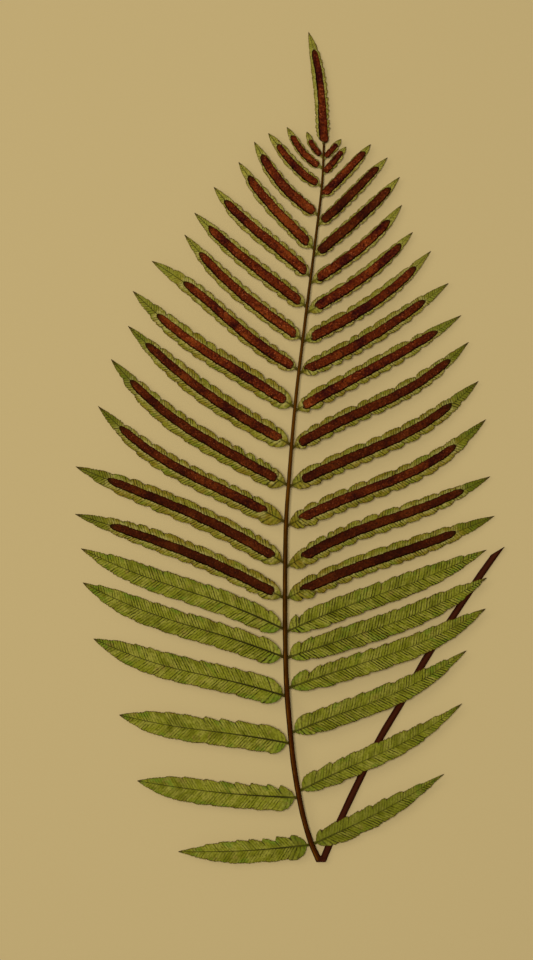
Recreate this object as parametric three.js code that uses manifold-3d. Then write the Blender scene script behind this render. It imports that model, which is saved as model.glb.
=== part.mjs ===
// Toothed midsorus fern: one fertile frond lying down with the side that bears the sori up.
// Millimetres, +Z up. +Y runs along the frond to its tip and +X to its right.
// The origin is under the middle of the frond, on the surface that it lies on.
// The whole frond is one grown body: a folded stipe, a rachis, 42 side leaflets and one at the tip.

import * as THREE from 'three';
import { mergeVertices } from 'three/addons/utils/BufferGeometryUtils.js';
import Module from 'manifold-3d';

const wasm = await Module();
wasm.setup();

// Driving dimensions.
const BLADE_THICKNESS = 0.7;
const NECK_WIDTH = 1.6; // the short stalk that joins a leaflet to the rachis
const NECK_LENGTH = 1.4; // from the rachis's skin to the leaflet's blade
// The margins' lobes: their lengths and depths at the leaflet's root and at its tip, and the place of
// their highest point, as a share of the lobe from the root. Each lobe ends in a notch.
const LOBES = {
  barrenUpper: { size: [8.5, 11], depth: [1.4, 0.5], peak: 0.9 },
  barrenLower: { size: [11, 13], depth: [0.7, 0.4], peak: 0.8 },
  leftUpper: { size: [6.5, 10], depth: [1.5, 0.6], peak: 0.6 },
  leftLower: { size: [10, 11.5], depth: [1, 0.5], peak: 0.7 },
  rightUpper: { size: [9, 11], depth: [1.2, 0.5], peak: 0.6 },
  rightLower: { size: [8, 10], depth: [1.3, 0.6], peak: 0.65 },
  endUpper: { size: [4.5, 7], depth: [1.2, 0.4], peak: 0.8 },
  endLower: { size: [6, 7], depth: [0.5, 0.3], peak: 0.7 },
};
const LOBE_SCATTER = [0.75, 1.25]; // smallest and largest share of a lobe's length and depth
const FULL_LOBE_WIDTH = 12; // leaflets narrower than this have smaller lobes
const LEAST_LOBE_SHARE = 0.55;
const LAST_LOBE = 4; // no notch is closer than this to a leaflet's tip
const LEAST_HALF_WIDTH = 0.5; // a notch stays this far off the midrib
const DEEPEST = 0.55; // the share of the green beside the sori that a notch may cut
const RIB_STEP = 17; // spacing of the points along the midrib and sori of a leaflet with full lobes
const SORI_HEIGHT = 0.9;
const SORI_WIDEST = 5.15;
const SORI_WIDTH_SHARE = 0.64; // of a narrow leaflet's width
const SORI_CREST = 0.36; // from the midrib to a crest, as a share of the band's width
const ROOF_SLOPE = 0.12; // the blade falls this much on each side of its midrib
const LEAFLET_ARCH = 2.4; // rise of the longest leaflets over a straight line from root to tip
const LONGEST_LEAFLET = 126;
const EDGE_WAVE = 0.5; // the blade's edges rise and fall this much
const WAVES = 1.5; // along one leaflet
const MOST_ROLL = THREE.MathUtils.degToRad(4);
const FREE_FROM = 0.25; // roll, slope and waves fade out over this share of the leaflet at each end
const STALK_SIDES = 8;
const STALK_STEP = 11; // spacing of the stalk's rings
const WELD = 1e-4; // corners closer than this are one
const LEAST_PLAN_AREA = 0.02; // square millimetres, and twice a triangle
const TURNED_COST = 1000; // millimetres of diagonal that a triangle turned over counts as
const MOST_MORE = 4; // points that are added along a leaflet until no triangle is turned over

// The stipe's axis in plan. It lies flat on the surface.
const STIPE_WIDTH = 3.8;
const STIPE = [
  [18.6, -227.4],
  [21, -221.5],
  [29.5, -202.5],
  [38.8, -183],
  [49.4, -161.5],
  [61.6, -141],
  [73.5, -119.5],
  [84.2, -102.5],
  [95.8, -85],
  [104, -72.5],
  [111.1, -62.5],
];
const STIPE_POINT = [118, -55]; // where the slanting cut runs out
// The fold's outline in plan, from the ends of its straight crease up to where the two arms part.
const FOLD = [[14.7, -228.8], [19.9, -228.8], [20.9, -226.2], [17.3, -225.4], [13.9, -226.2]];
const STIPE_CUT = [[0.55, 0.6], [1, 0.14]]; // places along the cut, and the share of the width left
// The rachis's axis, as x, y, height of its middle and width.
const RACHIS = [
  [15.9, -227.4, 2.2, 3.3],
  [11.7, -217.5, 5.6, 3],
  [8.1, -205.5, 7.4, 2.9],
  [5.6, -194.5, 8.6, 2.9],
  [2, -172.5, 10.2, 2.9],
  [-0.2, -150.5, 11.2, 2.9],
  [-1.8, -128.5, 11.8, 2.8],
  [-2.5, -95.5, 12.2, 2.5],
  [-2.4, -62.5, 12.3, 2.4],
  [-1.9, -40.5, 12.3, 2.3],
  [-0.4, -18.5, 12.2, 2.1],
  [3.3, 25.5, 11.6, 1.8],
  [8.6, 69.5, 10.4, 1.7],
  [14.2, 113.5, 8.8, 1.4],
  [17.9, 145, 7.2, 1.3],
  [18.9, 166.5, 6, 1.2],
];

// The leaflets, from the frond's base to its tip. root is where a leaflet leaves the rachis, along Y;
// tip is its point in plan; bow is how far its middle hangs towards the frond's base, and sway how far
// its outer half hangs more than its inner half; width is its greatest width; upper is the share of it
// above the midrib, towards the frond's tip; taper says how blunt it is, and is BLUNT where it isn't
// given; sori are the two ends of its band, as shares of its length. The lowest six pairs bear none.
// band is that band's width, where it isn't the usual share of the leaflet's. cuts are the clearest
// notches of its upper margin: a share of its length, and a depth. base is the length of its rounded
// base above and below the midrib, as a share of its length.
const BLUNT = 3.1;
const WIDEST_TO = 0.45; // the blade narrows from this share of its length on
const LEFT = [
  {
    root: -218.9, tip: [-61.5, -222.8], bow: 1.2, sway: 0, width: 14.2, upper: 0.46, taper: 2.1,
    cuts: [[0.16, 1.4], [0.27, 2.7], [0.37, 1.9], [0.475, 1.2], [0.57, 0.8]],
  },
  {
    root: -192.8, tip: [-84, -183.9], bow: 1.5, sway: 0, width: 15, upper: 0.45, taper: 3.7,
    cuts: [[0.13, 2.4], [0.205, 1.4], [0.31, 1.6], [0.405, 1.2], [0.5, 1]],
  },
  {
    root: -162.9, tip: [-94, -147.7], bow: 0.5, sway: 0.6, width: 15.8, upper: 0.5, taper: 3.8,
    cuts: [[0.205, 1], [0.335, 1.6], [0.425, 1.4], [0.52, 1.6]],
  },
  {
    root: -137, tip: [-108.2, -105.7], bow: 2.3, sway: 1.2, width: 15.6, upper: 0.51, taper: 4,
    cuts: [[0.125, 0.5], [0.225, 1], [0.3, 0.8], [0.39, 0.6], [0.46, 1], [0.55, 0.5]],
  },
  {
    root: -115.7, tip: [-114.1, -74.8], bow: 2, sway: 1.2, width: 14.8, upper: 0.47, taper: 4.2,
    cuts: [[0.145, 1.2], [0.27, 1.2], [0.35, 0.8], [0.445, 0.6], [0.49, 1.2], [0.58, 0.5]],
  },
  {
    root: -100.3, tip: [-115.2, -56], bow: 0.1, sway: 1.3, width: 14.4, upper: 0.5, taper: 3.5,
    cuts: [[0.105, 1.2], [0.19, 0.7], [0.24, 0.6], [0.35, 0.8], [0.405, 0.7], [0.51, 0.6]],
  },
  {
    root: -83.2, tip: [-118.5, -37], bow: -3.4, sway: 0.2, width: 12.6, upper: 0.52, taper: 3.4,
    sori: [0.053, 0.836],
    cuts: [[0.12, 0.8], [0.2, 1], [0.3, 0.9], [0.36, 0.9], [0.46, 0.9], [0.5, 1.1], [0.6, 0.9]],
  },
  {
    root: -64, tip: [-118.1, -10.8], bow: -3.2, sway: 0.6, width: 13.4, upper: 0.48, taper: 3.7,
    sori: [0.057, 0.85],
    cuts: [[0.1, 0.9], [0.135, 1.2], [0.17, 1.3], [0.235, 0.9], [0.35, 1], [0.43, 0.7], [0.55, 0.8]],
  },
  {
    root: -41.6, tip: [-105.7, 22.6], bow: 5.5, sway: 1.5, width: 12.6, upper: 0.45, taper: 3.3,
    sori: [0.107, 0.867],
    cuts: [[0.13, 1], [0.185, 1.3], [0.245, 0.9], [0.3, 1.4], [0.36, 0.7], [0.42, 1.2], [0.5, 1.2]],
  },
  {
    root: -21.4, tip: [-98.5, 48.5], bow: 6.4, sway: 1, width: 13.1, upper: 0.45, taper: 3.4,
    sori: [0.06, 0.87],
    cuts: [[0.11, 0.8], [0.145, 1], [0.185, 1.6], [0.24, 2], [0.31, 1.2], [0.385, 1.2], [0.5, 0.9]],
  },
  {
    root: 0.8, tip: [-89.2, 66.8], bow: 4.7, sway: 0, width: 12.9, upper: 0.49,
    sori: [0.06, 0.876],
    cuts: [[0.11, 1.1], [0.19, 1.4], [0.245, 1], [0.33, 0.7], [0.42, 0.7], [0.5, 0.9]],
  },
  {
    root: 21.5, tip: [-86.5, 86], bow: 3.5, sway: 0.9, width: 12.7, upper: 0.5, taper: 3.3,
    sori: [0.054, 0.831],
    cuts: [[0.13, 0.7], [0.2, 1.8], [0.29, 0.9], [0.36, 0.7], [0.42, 0.8], [0.485, 1.6]],
  },
  {
    root: 41.9, tip: [-76, 102.5], bow: 0.5, sway: -1.4, width: 10.3, upper: 0.49, taper: 3.8,
    sori: [0.036, 0.791], cuts: [[0.15, 1], [0.21, 1.2], [0.28, 1], [0.36, 0.7], [0.45, 0.8]],
  },
  { root: 58.6, tip: [-58, 117], bow: 3.5, sway: 0.3, width: 10.3, upper: 0.49, sori: [0.049, 0.853] },
  {
    root: 76.6, tip: [-52.5, 129], bow: 1.7, sway: 0.3, width: 10.2, upper: 0.49,
    sori: [0.052, 0.865],
  },
  {
    root: 93.3, tip: [-41.8, 143.2], bow: 1.6, sway: 0.7, width: 10.1, upper: 0.49,
    sori: [0.044, 0.869],
  },
  {
    root: 108.4, tip: [-28.1, 156.9], bow: 2.1, sway: 0.3, width: 9.2, upper: 0.49,
    sori: [0.067, 0.851],
  },
  {
    root: 127.1, tip: [-19.5, 168], bow: 3.9, sway: -0.1, width: 8.4, upper: 0.47,
    sori: [0.046, 0.849],
  },
  {
    root: 143, tip: [-11.8, 172.7], bow: 2.4, sway: -0.4, width: 7.4, upper: 0.51,
    sori: [0.06, 0.804], band: 4,
  },
  {
    root: 153, tip: [-1.5, 176], bow: 2.5, sway: -0.3, width: 5.8, upper: 0.5,
    sori: [0.08, 0.824],
  },
  { root: 159, tip: [9.5, 173.5], bow: 1.4, sway: 0, width: 4.8, upper: 0.5, sori: [0.1, 0.725] },
];
const RIGHT = [
  {
    root: -218.9, tip: [85.2, -179.9], bow: 1.6, sway: 0.1, width: 13.2, upper: 0.47, taper: 1.6,
    cuts: [[0.1, 1.2], [0.22, 0.5], [0.3, 0.8], [0.38, 0.6]],
  },
  {
    root: -189.4, tip: [95.1, -141.2], bow: 2.9, sway: 1.1, width: 13.4, upper: 0.52, taper: 2.1,
    cuts: [[0.14, 1.4], [0.23, 1.3], [0.3, 0.8], [0.37, 0.6], [0.5, 0.8], [0.67, 1]],
  },
  {
    root: -157.2, tip: [97.5, -112], bow: 4, sway: 1.1, width: 14.2, upper: 0.5, taper: 2.4,
    cuts: [[0.14, 0.8], [0.21, 0.8], [0.28, 0.6], [0.35, 1], [0.43, 0.8], [0.58, 1]],
  },
  {
    root: -132.7, tip: [108, -89], bow: 3.5, sway: 1.1, width: 13.8, upper: 0.48, taper: 3.6,
    cuts: [[0.125, 2.6], [0.19, 0.8], [0.24, 1], [0.3, 0.8], [0.38, 1.2], [0.44, 1]],
  },
  {
    root: -116, tip: [108.7, -72], bow: 3.7, sway: 0.8, width: 14.2, upper: 0.5, taper: 3.4,
    cuts: [[0.09, 1.5], [0.15, 0.8], [0.3, 0.7], [0.4, 0.8], [0.48, 0.6]],
  },
  {
    root: -101.7, tip: [108.8, -56.7], bow: 0.5, sway: 0.9, width: 14, upper: 0.5, taper: 2.8,
    cuts: [[0.085, 2.6], [0.15, 0.5], [0.21, 0.6], [0.3, 0.6], [0.4, 0.7], [0.49, 1.4]],
  },
  {
    root: -83.6, tip: [113.2, -38], bow: -0.9, sway: 1.1, width: 12.6, upper: 0.51,
    sori: [0.094, 0.813], cuts: [[0.09, 0.6], [0.17, 1.5], [0.27, 0.8], [0.4, 0.6], [0.5, 0.8]],
  },
  {
    root: -66.2, tip: [110.8, -16.2], bow: -1, sway: 1.7, width: 12.2, upper: 0.49,
    sori: [0.09, 0.865], base: [0.2, 0.08],
    cuts: [
      [0.125, 1], [0.17, 0.9], [0.225, 2.2], [0.26, 0.8], [0.31, 1.3],
      [0.39, 1.3], [0.47, 1.2], [0.57, 1.2],
    ],
  },
  {
    root: -43.7, tip: [108.4, 15.3], bow: 5.4, sway: 2.2, width: 12.5, upper: 0.48, taper: 3.3,
    sori: [0.075, 0.828],
    cuts: [[0.1, 1.3], [0.17, 1.8], [0.25, 0.5], [0.31, 1.7], [0.4, 1.1], [0.54, 1], [0.61, 0.9]],
  },
  {
    root: -22.2, tip: [104.3, 36.4], bow: 5.2, sway: 1.7, width: 12, upper: 0.49, taper: 3.6,
    sori: [0.069, 0.84], cuts: [[0.18, 1.3], [0.28, 0.8], [0.4, 1.3], [0.48, 0.8], [0.58, 0.8]],
  },
  {
    root: -0.9, tip: [98.9, 57.9], bow: 4.2, sway: 1.8, width: 11, upper: 0.52,
    sori: [0.043, 0.877],
    cuts: [[0.11, 0.7], [0.175, 1.4], [0.25, 0.8], [0.37, 1.5], [0.43, 0.9], [0.57, 1.1], [0.69, 1.2]],
  },
  {
    root: 19.6, tip: [94.8, 72.6], bow: 1.2, sway: 0.4, width: 11.3, upper: 0.5, taper: 2.5,
    sori: [0.048, 0.849],
    cuts: [[0.09, 0.8], [0.21, 0.8], [0.31, 1.2], [0.42, 0.8], [0.54, 0.8], [0.7, 1.5]],
  },
  {
    root: 40.2, tip: [87.8, 90.3], bow: 3.3, sway: -0.2, width: 10.9, upper: 0.52, taper: 2.7,
    sori: [0.05, 0.832], cuts: [[0.16, 1.2], [0.2, 0.8], [0.34, 1.4], [0.4, 0.9], [0.5, 0.8]],
  },
  {
    root: 57.4, tip: [78, 108], bow: 5, sway: 0.4, width: 9.9, upper: 0.55, taper: 2.8,
    sori: [0.059, 0.862], cuts: [[0.15, 1.2], [0.19, 0.8], [0.33, 1.6]],
  },
  {
    root: 73.2, tip: [68, 118.4], bow: 3.3, sway: 0.3, width: 8.8, upper: 0.53,
    sori: [0.084, 0.875], cuts: [[0.22, 0.6], [0.37, 1.3]],
  },
  {
    root: 89.5, tip: [62, 133.4], bow: 3.2, sway: 0.3, width: 8.2, upper: 0.47,
    sori: [0.07, 0.837], cuts: [[0.24, 1.2], [0.42, 0.8]],
  },
  {
    root: 104.4, tip: [60.8, 148.7], bow: 1.4, sway: 0.2, width: 8.1, upper: 0.51,
    sori: [0.057, 0.876],
  },
  {
    root: 121.3, tip: [54.1, 159.4], bow: 0.6, sway: -0.2, width: 7.3, upper: 0.48,
    sori: [0.065, 0.862],
  },
  {
    root: 136.7, tip: [44.8, 166.7], bow: 0.4, sway: 0.1, width: 6.8, upper: 0.45,
    sori: [0.055, 0.868],
  },
  { root: 149.5, tip: [31.2, 165.3], bow: 0, sway: 0, width: 5.4, upper: 0.43, sori: [0.08, 0.83] },
  { root: 158, tip: [28.5, 169.5], bow: 0.1, sway: 0, width: 4.6, upper: 0.45, sori: [0.1, 0.757] },
];
const END = {
  root: 166, tip: [10.5, 229], bow: -2.4, sway: -0.3, width: 8.6, upper: 0.49, sori: [0.02, 0.837],
  band: 4.1,
};

// The rounded base's length along the midrib, as a share of the leaflet's own length, above and below
// the midrib, where a leaflet gives none of its own.
const BASE = [0.12, 0.09];
const RIGHT_BARREN_BASE = [0.075, 0.22];
const SHORTEST_BASE = 5; // millimetres, on the smallest leaflets
const BASE_CORNERS = [0.15, 0.5]; // places of the corners along the base's curve
const CORNER_CLEARANCE = 1.5; // millimetres between such a corner and a lobe's own

// Heights of the leaflets' tips. On the left they droop to the surface. On the right the lowest
// five pass over the stipe. The tip leaflet droops to the surface again.
const RESTING_Y = -24; // the left tips beside this place touch the surface
const RESTING_REACH = 14;
const LEFT_TIP_RISE = 3.5;
const RISE_OVER = 150;
const OVER_STIPE = 5.2;
const OVER_STIPE_PAIRS = 5;
const RIGHT_TIP_LOW = 1.6;
const RIGHT_TIP_HIGH = 4.2;

// Repeatable scatter between 0 and 1. Each leaflet has a seed of its own.
const LEFT_SEED = 1;
const RIGHT_SEED = 31;
const END_SEED = 61;
function scatter(seed) {
  const value = Math.sin(seed * 12.9898) * 43758.5453;
  return value - Math.floor(value);
}

// A smooth curve through the axis's points, and its width at the same place.
function axisCurve(points) {
  const middle = new THREE.CatmullRomCurve3(points.map(([x, y, z]) => new THREE.Vector3(x, y, z)));
  const widthAt = (t) => {
    const place = t * (points.length - 1);
    const before = Math.min(Math.floor(place), points.length - 2);
    return THREE.MathUtils.lerp(points[before][3], points[before + 1][3], place - before);
  };
  return { middle, widthAt };
}

const rachis = axisCurve(RACHIS);

// The rachis climbs steadily along Y, so halving finds the place beside a leaflet's root.
function rachisAt(y) {
  let low = 0;
  let high = 1;
  for (let step = 0; step < 40; step += 1) {
    const half = (low + high) / 2;
    if (rachis.middle.getPoint(half).y < y) low = half;
    else high = half;
  }
  return { place: rachis.middle.getPoint(low), width: rachis.widthAt(low) };
}

// Turns lists of corner points into one closed solid.
function solidFromTriangles(triangles) {
  const geometry = new THREE.BufferGeometry();
  geometry.setAttribute('position', new THREE.Float32BufferAttribute(triangles.flat(2), 3));
  const merged = mergeVertices(geometry, WELD);
  return new wasm.Manifold(new wasm.Mesh({
    numProp: 3,
    vertProperties: Float32Array.from(merged.attributes.position.array),
    triVerts: Uint32Array.from(merged.index.array),
  }));
}

function geometryFromSolid(solid) {
  const mesh = solid.getMesh();
  const geometry = new THREE.BufferGeometry();
  geometry.setAttribute('position', new THREE.BufferAttribute(mesh.vertProperties, 3));
  geometry.setIndex(new THREE.BufferAttribute(mesh.triVerts, 1));
  geometry.computeVertexNormals();
  return geometry;
}

// One upright ring of the stalk, eight-sided, with a flat side down.
function stalkRing(place, across, halfWidth) {
  const radius = halfWidth / Math.cos(Math.PI / STALK_SIDES);
  return Array.from({ length: STALK_SIDES }, (_, side) => {
    const angle = ((side + 0.5) / STALK_SIDES) * Math.PI * 2;
    const sideways = Math.cos(angle) * radius;
    return [
      place.x + across.x * sideways,
      place.y + across.y * sideways,
      place.z + Math.sin(angle) * radius,
    ];
  });
}

// Skins a row of rings and closes its two ends.
function skinRings(rings) {
  const triangles = [];
  for (let i = 0; i + 1 < rings.length; i += 1) {
    for (let side = 0; side < STALK_SIDES; side += 1) {
      const next = (side + 1) % STALK_SIDES;
      triangles.push([rings[i][side], rings[i][next], rings[i + 1][next]]);
      triangles.push([rings[i][side], rings[i + 1][next], rings[i + 1][side]]);
    }
  }
  const first = rings[0];
  const last = rings[rings.length - 1];
  for (let side = 1; side + 1 < STALK_SIDES; side += 1) {
    triangles.push([first[0], first[side + 1], first[side]]);
    triangles.push([last[0], last[side], last[side + 1]]);
  }
  return triangles;
}

function stalkRings(points) {
  const { middle, widthAt } = axisCurve(points);
  const count = Math.round(middle.getLength() / STALK_STEP);
  return Array.from({ length: count + 1 }, (_, i) => {
    const t = i / count;
    const along = middle.getTangent(t);
    const across = new THREE.Vector3(-along.y, along.x, 0).normalize();
    return stalkRing(middle.getPoint(t), across, widthAt(t) / 2);
  });
}

// The stipe, whose last stretch is cut slanting to a point.
function stipeSolid() {
  const radius = STIPE_WIDTH / 2;
  const rings = stalkRings(STIPE.map(([x, y]) => [x, y, radius, STIPE_WIDTH]));
  const [endX, endY] = STIPE[STIPE.length - 1];
  const along = new THREE.Vector3(STIPE_POINT[0] - endX, STIPE_POINT[1] - endY, 0);
  const across = new THREE.Vector3(-along.y, along.x, 0).normalize();
  for (const [share, widthLeft] of STIPE_CUT) {
    const left = radius * widthLeft;
    const place = new THREE.Vector3(endX + along.x * share, endY + along.y * share, left);
    rings.push(stalkRing(place, across, left));
  }
  return solidFromTriangles(skinRings(rings));
}

function rachisSolid() {
  return solidFromTriangles(skinRings(stalkRings(RACHIS)));
}

// The flattened knuckle where the stipe is folded back on itself, with a straight crease.
function foldSolid() {
  return wasm.Manifold.extrude([FOLD], STIPE_WIDTH);
}

// Works out one leaflet's form: its midrib, the surface beside it and its heights.
function leafletForm(leaflet, side, tipHeight, seed) {
  const { place, width: rachisWidth } = rachisAt(leaflet.root);
  const reach = new THREE.Vector2(leaflet.tip[0] - place.x, leaflet.tip[1] - place.y);
  const length = reach.length();
  const along = reach.clone().normalize();
  const up = new THREE.Vector2(-along.y * side, along.x * side); // towards the frond's tip
  const bladeStart = (rachisWidth / 2 + NECK_LENGTH) / length;
  const roll = MOST_ROLL * (2 * scatter(seed) - 1);
  const wavePhase = scatter(seed + 0.5) * Math.PI * 2;
  const arch = (LEAFLET_ARCH * length) / LONGEST_LEAFLET;

  // A point of the leaflet's upper face: t runs from root to tip, v is millimetres off the midrib.
  const surface = (t, v) => {
    const hang = leaflet.bow * Math.sin(Math.PI * t) - leaflet.sway * Math.sin(2 * Math.PI * t);
    const bend = leaflet.bow * Math.cos(Math.PI * t) - 2 * leaflet.sway * Math.cos(2 * Math.PI * t);
    const hangSlope = (Math.PI * bend) / length;
    const turn = Math.hypot(1, hangSlope);
    const nx = (up.x + along.x * hangSlope) / turn;
    const ny = (up.y + along.y * hangSlope) / turn;
    const x = place.x + along.x * length * t - up.x * hang + nx * v;
    const y = place.y + along.y * length * t - up.y * hang + ny * v;
    const spine = THREE.MathUtils.lerp(place.z, tipHeight, t) + arch * Math.sin(Math.PI * t);
    const free = Math.min(1, t / FREE_FROM) * Math.min(1, (1 - t) / FREE_FROM);
    const wave = EDGE_WAVE * Math.sin(Math.PI * 2 * WAVES * t + wavePhase) * (v / leaflet.width) * 2;
    const z = spine + free * (Math.tan(roll) * v - ROOF_SLOPE * Math.abs(v) + wave);
    return [x, y, z + BLADE_THICKNESS / 2];
  };
  return { ...leaflet, length, side, bladeStart, surface, seed };
}

// The length of the blade's rounded base along one margin, as a share of the leaflet's length.
function baseLength(form, edge) {
  const usual = form.side > 0 && !form.sori ? RIGHT_BARREN_BASE : BASE;
  const [above, below] = form.base ?? usual;
  return Math.max(edge > 0 ? above : below, SHORTEST_BASE / form.length);
}

function soriWidth(form) {
  return form.band ?? Math.min(SORI_WIDEST, SORI_WIDTH_SHARE * form.width);
}

// How wide the blade is on one side of its midrib, without its lobes.
function halfWidth(form, t, edge) {
  const share = edge > 0 ? form.upper : 1 - form.upper;
  const rise = THREE.MathUtils.clamp((t - form.bladeStart) / baseLength(form, edge), 0, 1);
  const base = Math.sqrt(1 - (1 - rise) ** 2);
  const run = Math.max(0, (t - WIDEST_TO) / (1 - WIDEST_TO));
  const taper = 1 - run ** (form.taper ?? BLUNT);
  return form.width * share * base * taper;
}

// Which of the lobed margins a leaflet's edge has.
function lobeKind(form, edge) {
  const level = edge > 0 ? 'Upper' : 'Lower';
  if (form.seed === END_SEED) return LOBES[`end${level}`];
  if (!form.sori) return LOBES[`barren${level}`];
  return LOBES[`${form.side < 0 ? 'left' : 'right'}${level}`];
}

// How much finer a narrow leaflet's lobes are than a wide one's.
function lobeShare(form) {
  return THREE.MathUtils.clamp(form.width / FULL_LOBE_WIDTH, LEAST_LOBE_SHARE, 1);
}

// Where each lobe of one margin ends, as a share of the leaflet's length, and how deep its notch is.
function notchesAlong(form, edge) {
  const { size, depth } = lobeKind(form, edge);
  const { lerp } = THREE.MathUtils;
  const finer = lobeShare(form);
  const found = edge > 0 ? [...(form.cuts ?? [])] : [];
  let at = found.length > 0 ? found[found.length - 1][0] : form.bladeStart;
  for (let lobe = 0; ; lobe += 1) {
    const chance = scatter(form.seed * 3.7 + lobe * 1.31 + edge * 0.7);
    at += (lerp(...size, at) * lerp(...LOBE_SCATTER, chance) * finer) / form.length;
    if (at > 1 - LAST_LOBE / form.length) return found;
    const depthChance = scatter(form.seed * 1.9 + lobe * 2.17 + edge * 0.4);
    found.push([at, lerp(...depth, at) * lerp(...LOBE_SCATTER, depthChance) * finer]);
  }
}

// One edge of a leaflet as points of t and v, with a peak and a notch for each lobe.
function lobedEdge(form, edge) {
  const neck = (edge * NECK_WIDTH) / 2;
  const { peak } = lobeKind(form, edge);
  const spared = form.sori ? soriWidth(form) / 2 : 0;
  const corners = [];
  let before = form.bladeStart;
  for (const [notch, depth] of notchesAlong(form, edge)) {
    const top = THREE.MathUtils.lerp(before, notch, peak);
    corners.push({ t: top, v: edge * halfWidth(form, top, edge) });
    const outer = halfWidth(form, notch, edge);
    const cut = Math.min(depth, Math.max(0, outer - spared) * DEEPEST);
    corners.push({ t: notch, v: edge * Math.max(outer - cut, LEAST_HALF_WIDTH) });
    before = notch;
  }
  for (const share of BASE_CORNERS) {
    const t = form.bladeStart + share * baseLength(form, edge);
    const clear = corners.every((corner) => Math.abs(corner.t - t) * form.length > CORNER_CLEARANCE);
    if (clear) corners.push({ t, v: edge * halfWidth(form, t, edge) });
  }
  corners.sort((a, b) => a.t - b.t);
  return [{ t: 0, v: neck }, { t: form.bladeStart, v: neck }, ...corners];
}

// Twice a triangle's area in plan, and below nothing where it is turned over.
function planArea([a, b, c], length) {
  return length * ((b.t - a.t) * (c.v - a.v) - (c.t - a.t) * (b.v - a.v));
}

// Fills the band between two rows that run the same way, left above right, by the shortest diagonals
// that turn no triangle over.
function strip(left, right, length) {
  const best = left.map(() => []);
  left.forEach((a, i) => right.forEach((b, j) => {
    const diagonal = Math.hypot((a.t - b.t) * length, a.v - b.v);
    const ways = [];
    if (i > 0) ways.push({ before: best[i - 1][j], corners: [left[i - 1], b, a] });
    if (j > 0) ways.push({ before: best[i][j - 1], corners: [a, right[j - 1], b] });
    for (const way of ways) {
      way.flat = new Set(way.corners).size < 3;
      const turned = !way.flat && planArea(way.corners, length) < LEAST_PLAN_AREA;
      way.cost = way.before.cost + diagonal + (turned ? TURNED_COST : 0);
    }
    best[i][j] = ways.length === 0 ? { cost: 0 } : ways.reduce((p, q) => (q.cost < p.cost ? q : p));
  }));
  const triangles = [];
  let way = best[left.length - 1][right.length - 1];
  while (way.before) {
    if (!way.flat) triangles.push(way.corners);
    way = way.before;
  }
  return triangles;
}

// Rows of points along the band of sori: its two feet and its two crests.
function soriRows(form, count) {
  const width = soriWidth(form);
  const [start, end] = form.sori;
  const first = { t: start, v: 0, rise: 0 };
  const last = { t: end, v: 0, rise: 0 };
  const row = (offset, rise) => {
    const inner = Array.from({ length: count }, (_, i) => {
      const t = start + ((end - start) * (i + 0.5)) / count;
      return { t, v: offset * width, rise };
    });
    return [first, ...inner, last];
  };
  return {
    feet: [row(-0.5, 0), row(0.5, 0)],
    crests: [row(-SORI_CREST, SORI_HEIGHT), row(SORI_CREST, SORI_HEIGHT)],
  };
}

// Fills a leaflet's outline in plan. Its midrib, or each side of its sori, has count points.
// The sori's own triangles are on the top face alone, and one strip under them on the bottom alone.
function fillLeaflet(form, { root, tip, lower, upper }, count) {
  const fill = (left, right) => strip(left, right, form.length);
  let lowerInner;
  let upperInner;
  let topOnly = [];
  let bottomOnly = [];
  if (form.sori) {
    const { feet, crests } = soriRows(form, count);
    lowerInner = [root, ...feet[0], tip];
    upperInner = [root, ...feet[1], tip];
    topOnly = [...fill(crests[0], feet[0]), ...fill(crests[1], crests[0]), ...fill(feet[1], crests[1])];
    bottomOnly = fill(feet[1], feet[0]);
  } else {
    const rib = Array.from({ length: count }, (_, i) => ({ t: (i + 1) / (count + 1), v: 0 }));
    lowerInner = [root, { t: form.bladeStart, v: 0 }, ...rib, tip];
    upperInner = lowerInner;
  }
  const both = [...fill(lowerInner, lower), ...fill(upper, upperInner)];
  const sound = both.every((corners) => planArea(corners, form.length) > LEAST_PLAN_AREA);
  return { topOnly, both, bottomOnly, sound };
}

// One leaflet as a thin closed slab, split alike on both faces, with its sori raised on top.
function leafletSolid(form) {
  const root = { t: 0, v: 0 };
  const tip = { t: 1, v: 0 };
  const lower = [...lobedEdge(form, -1), tip];
  const upper = [...lobedEdge(form, 1), tip];
  const outline = { root, tip, lower, upper };
  const [start, end] = form.sori ?? [0, 1];
  const fewest = Math.max(2, Math.round(((end - start) * form.length) / (RIB_STEP * lobeShare(form))));
  let filled = fillLeaflet(form, outline, fewest);
  for (let more = 1; more <= MOST_MORE && !filled.sound; more += 1) {
    filled = fillLeaflet(form, outline, fewest + more);
  }

  const top = (point) => {
    const [x, y, z] = form.surface(point.t, point.v);
    return [x, y, z + (point.rise ?? 0)];
  };
  const bottom = (point) => {
    const [x, y, z] = form.surface(point.t, point.v);
    return [x, y, z - BLADE_THICKNESS];
  };
  const triangles = [...filled.topOnly, ...filled.both].map((corners) => corners.map(top));
  for (const corners of [...filled.both, ...filled.bottomOnly]) {
    triangles.push(corners.map(bottom).reverse());
  }
  const rim = [...lower, ...upper.slice(0, -1).reverse(), root];
  rim.forEach((point, i) => {
    const next = rim[(i + 1) % rim.length];
    triangles.push([top(point), bottom(point), bottom(next)], [top(point), bottom(next), top(next)]);
  });
  const flip = form.side < 0;
  return solidFromTriangles(flip ? triangles.map((corners) => [...corners].reverse()) : triangles);
}

function leftTipHeight(leaflet) {
  const away = Math.max(0, Math.abs(leaflet.tip[1] - RESTING_Y) - RESTING_REACH);
  return LEFT_TIP_RISE * (away / RISE_OVER) ** 1.5;
}

function rightTipHeight(index) {
  if (index < OVER_STIPE_PAIRS) return OVER_STIPE;
  const share = (index - OVER_STIPE_PAIRS) / (RIGHT.length - OVER_STIPE_PAIRS - 1);
  return THREE.MathUtils.lerp(RIGHT_TIP_LOW, RIGHT_TIP_HIGH, share);
}

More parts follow.
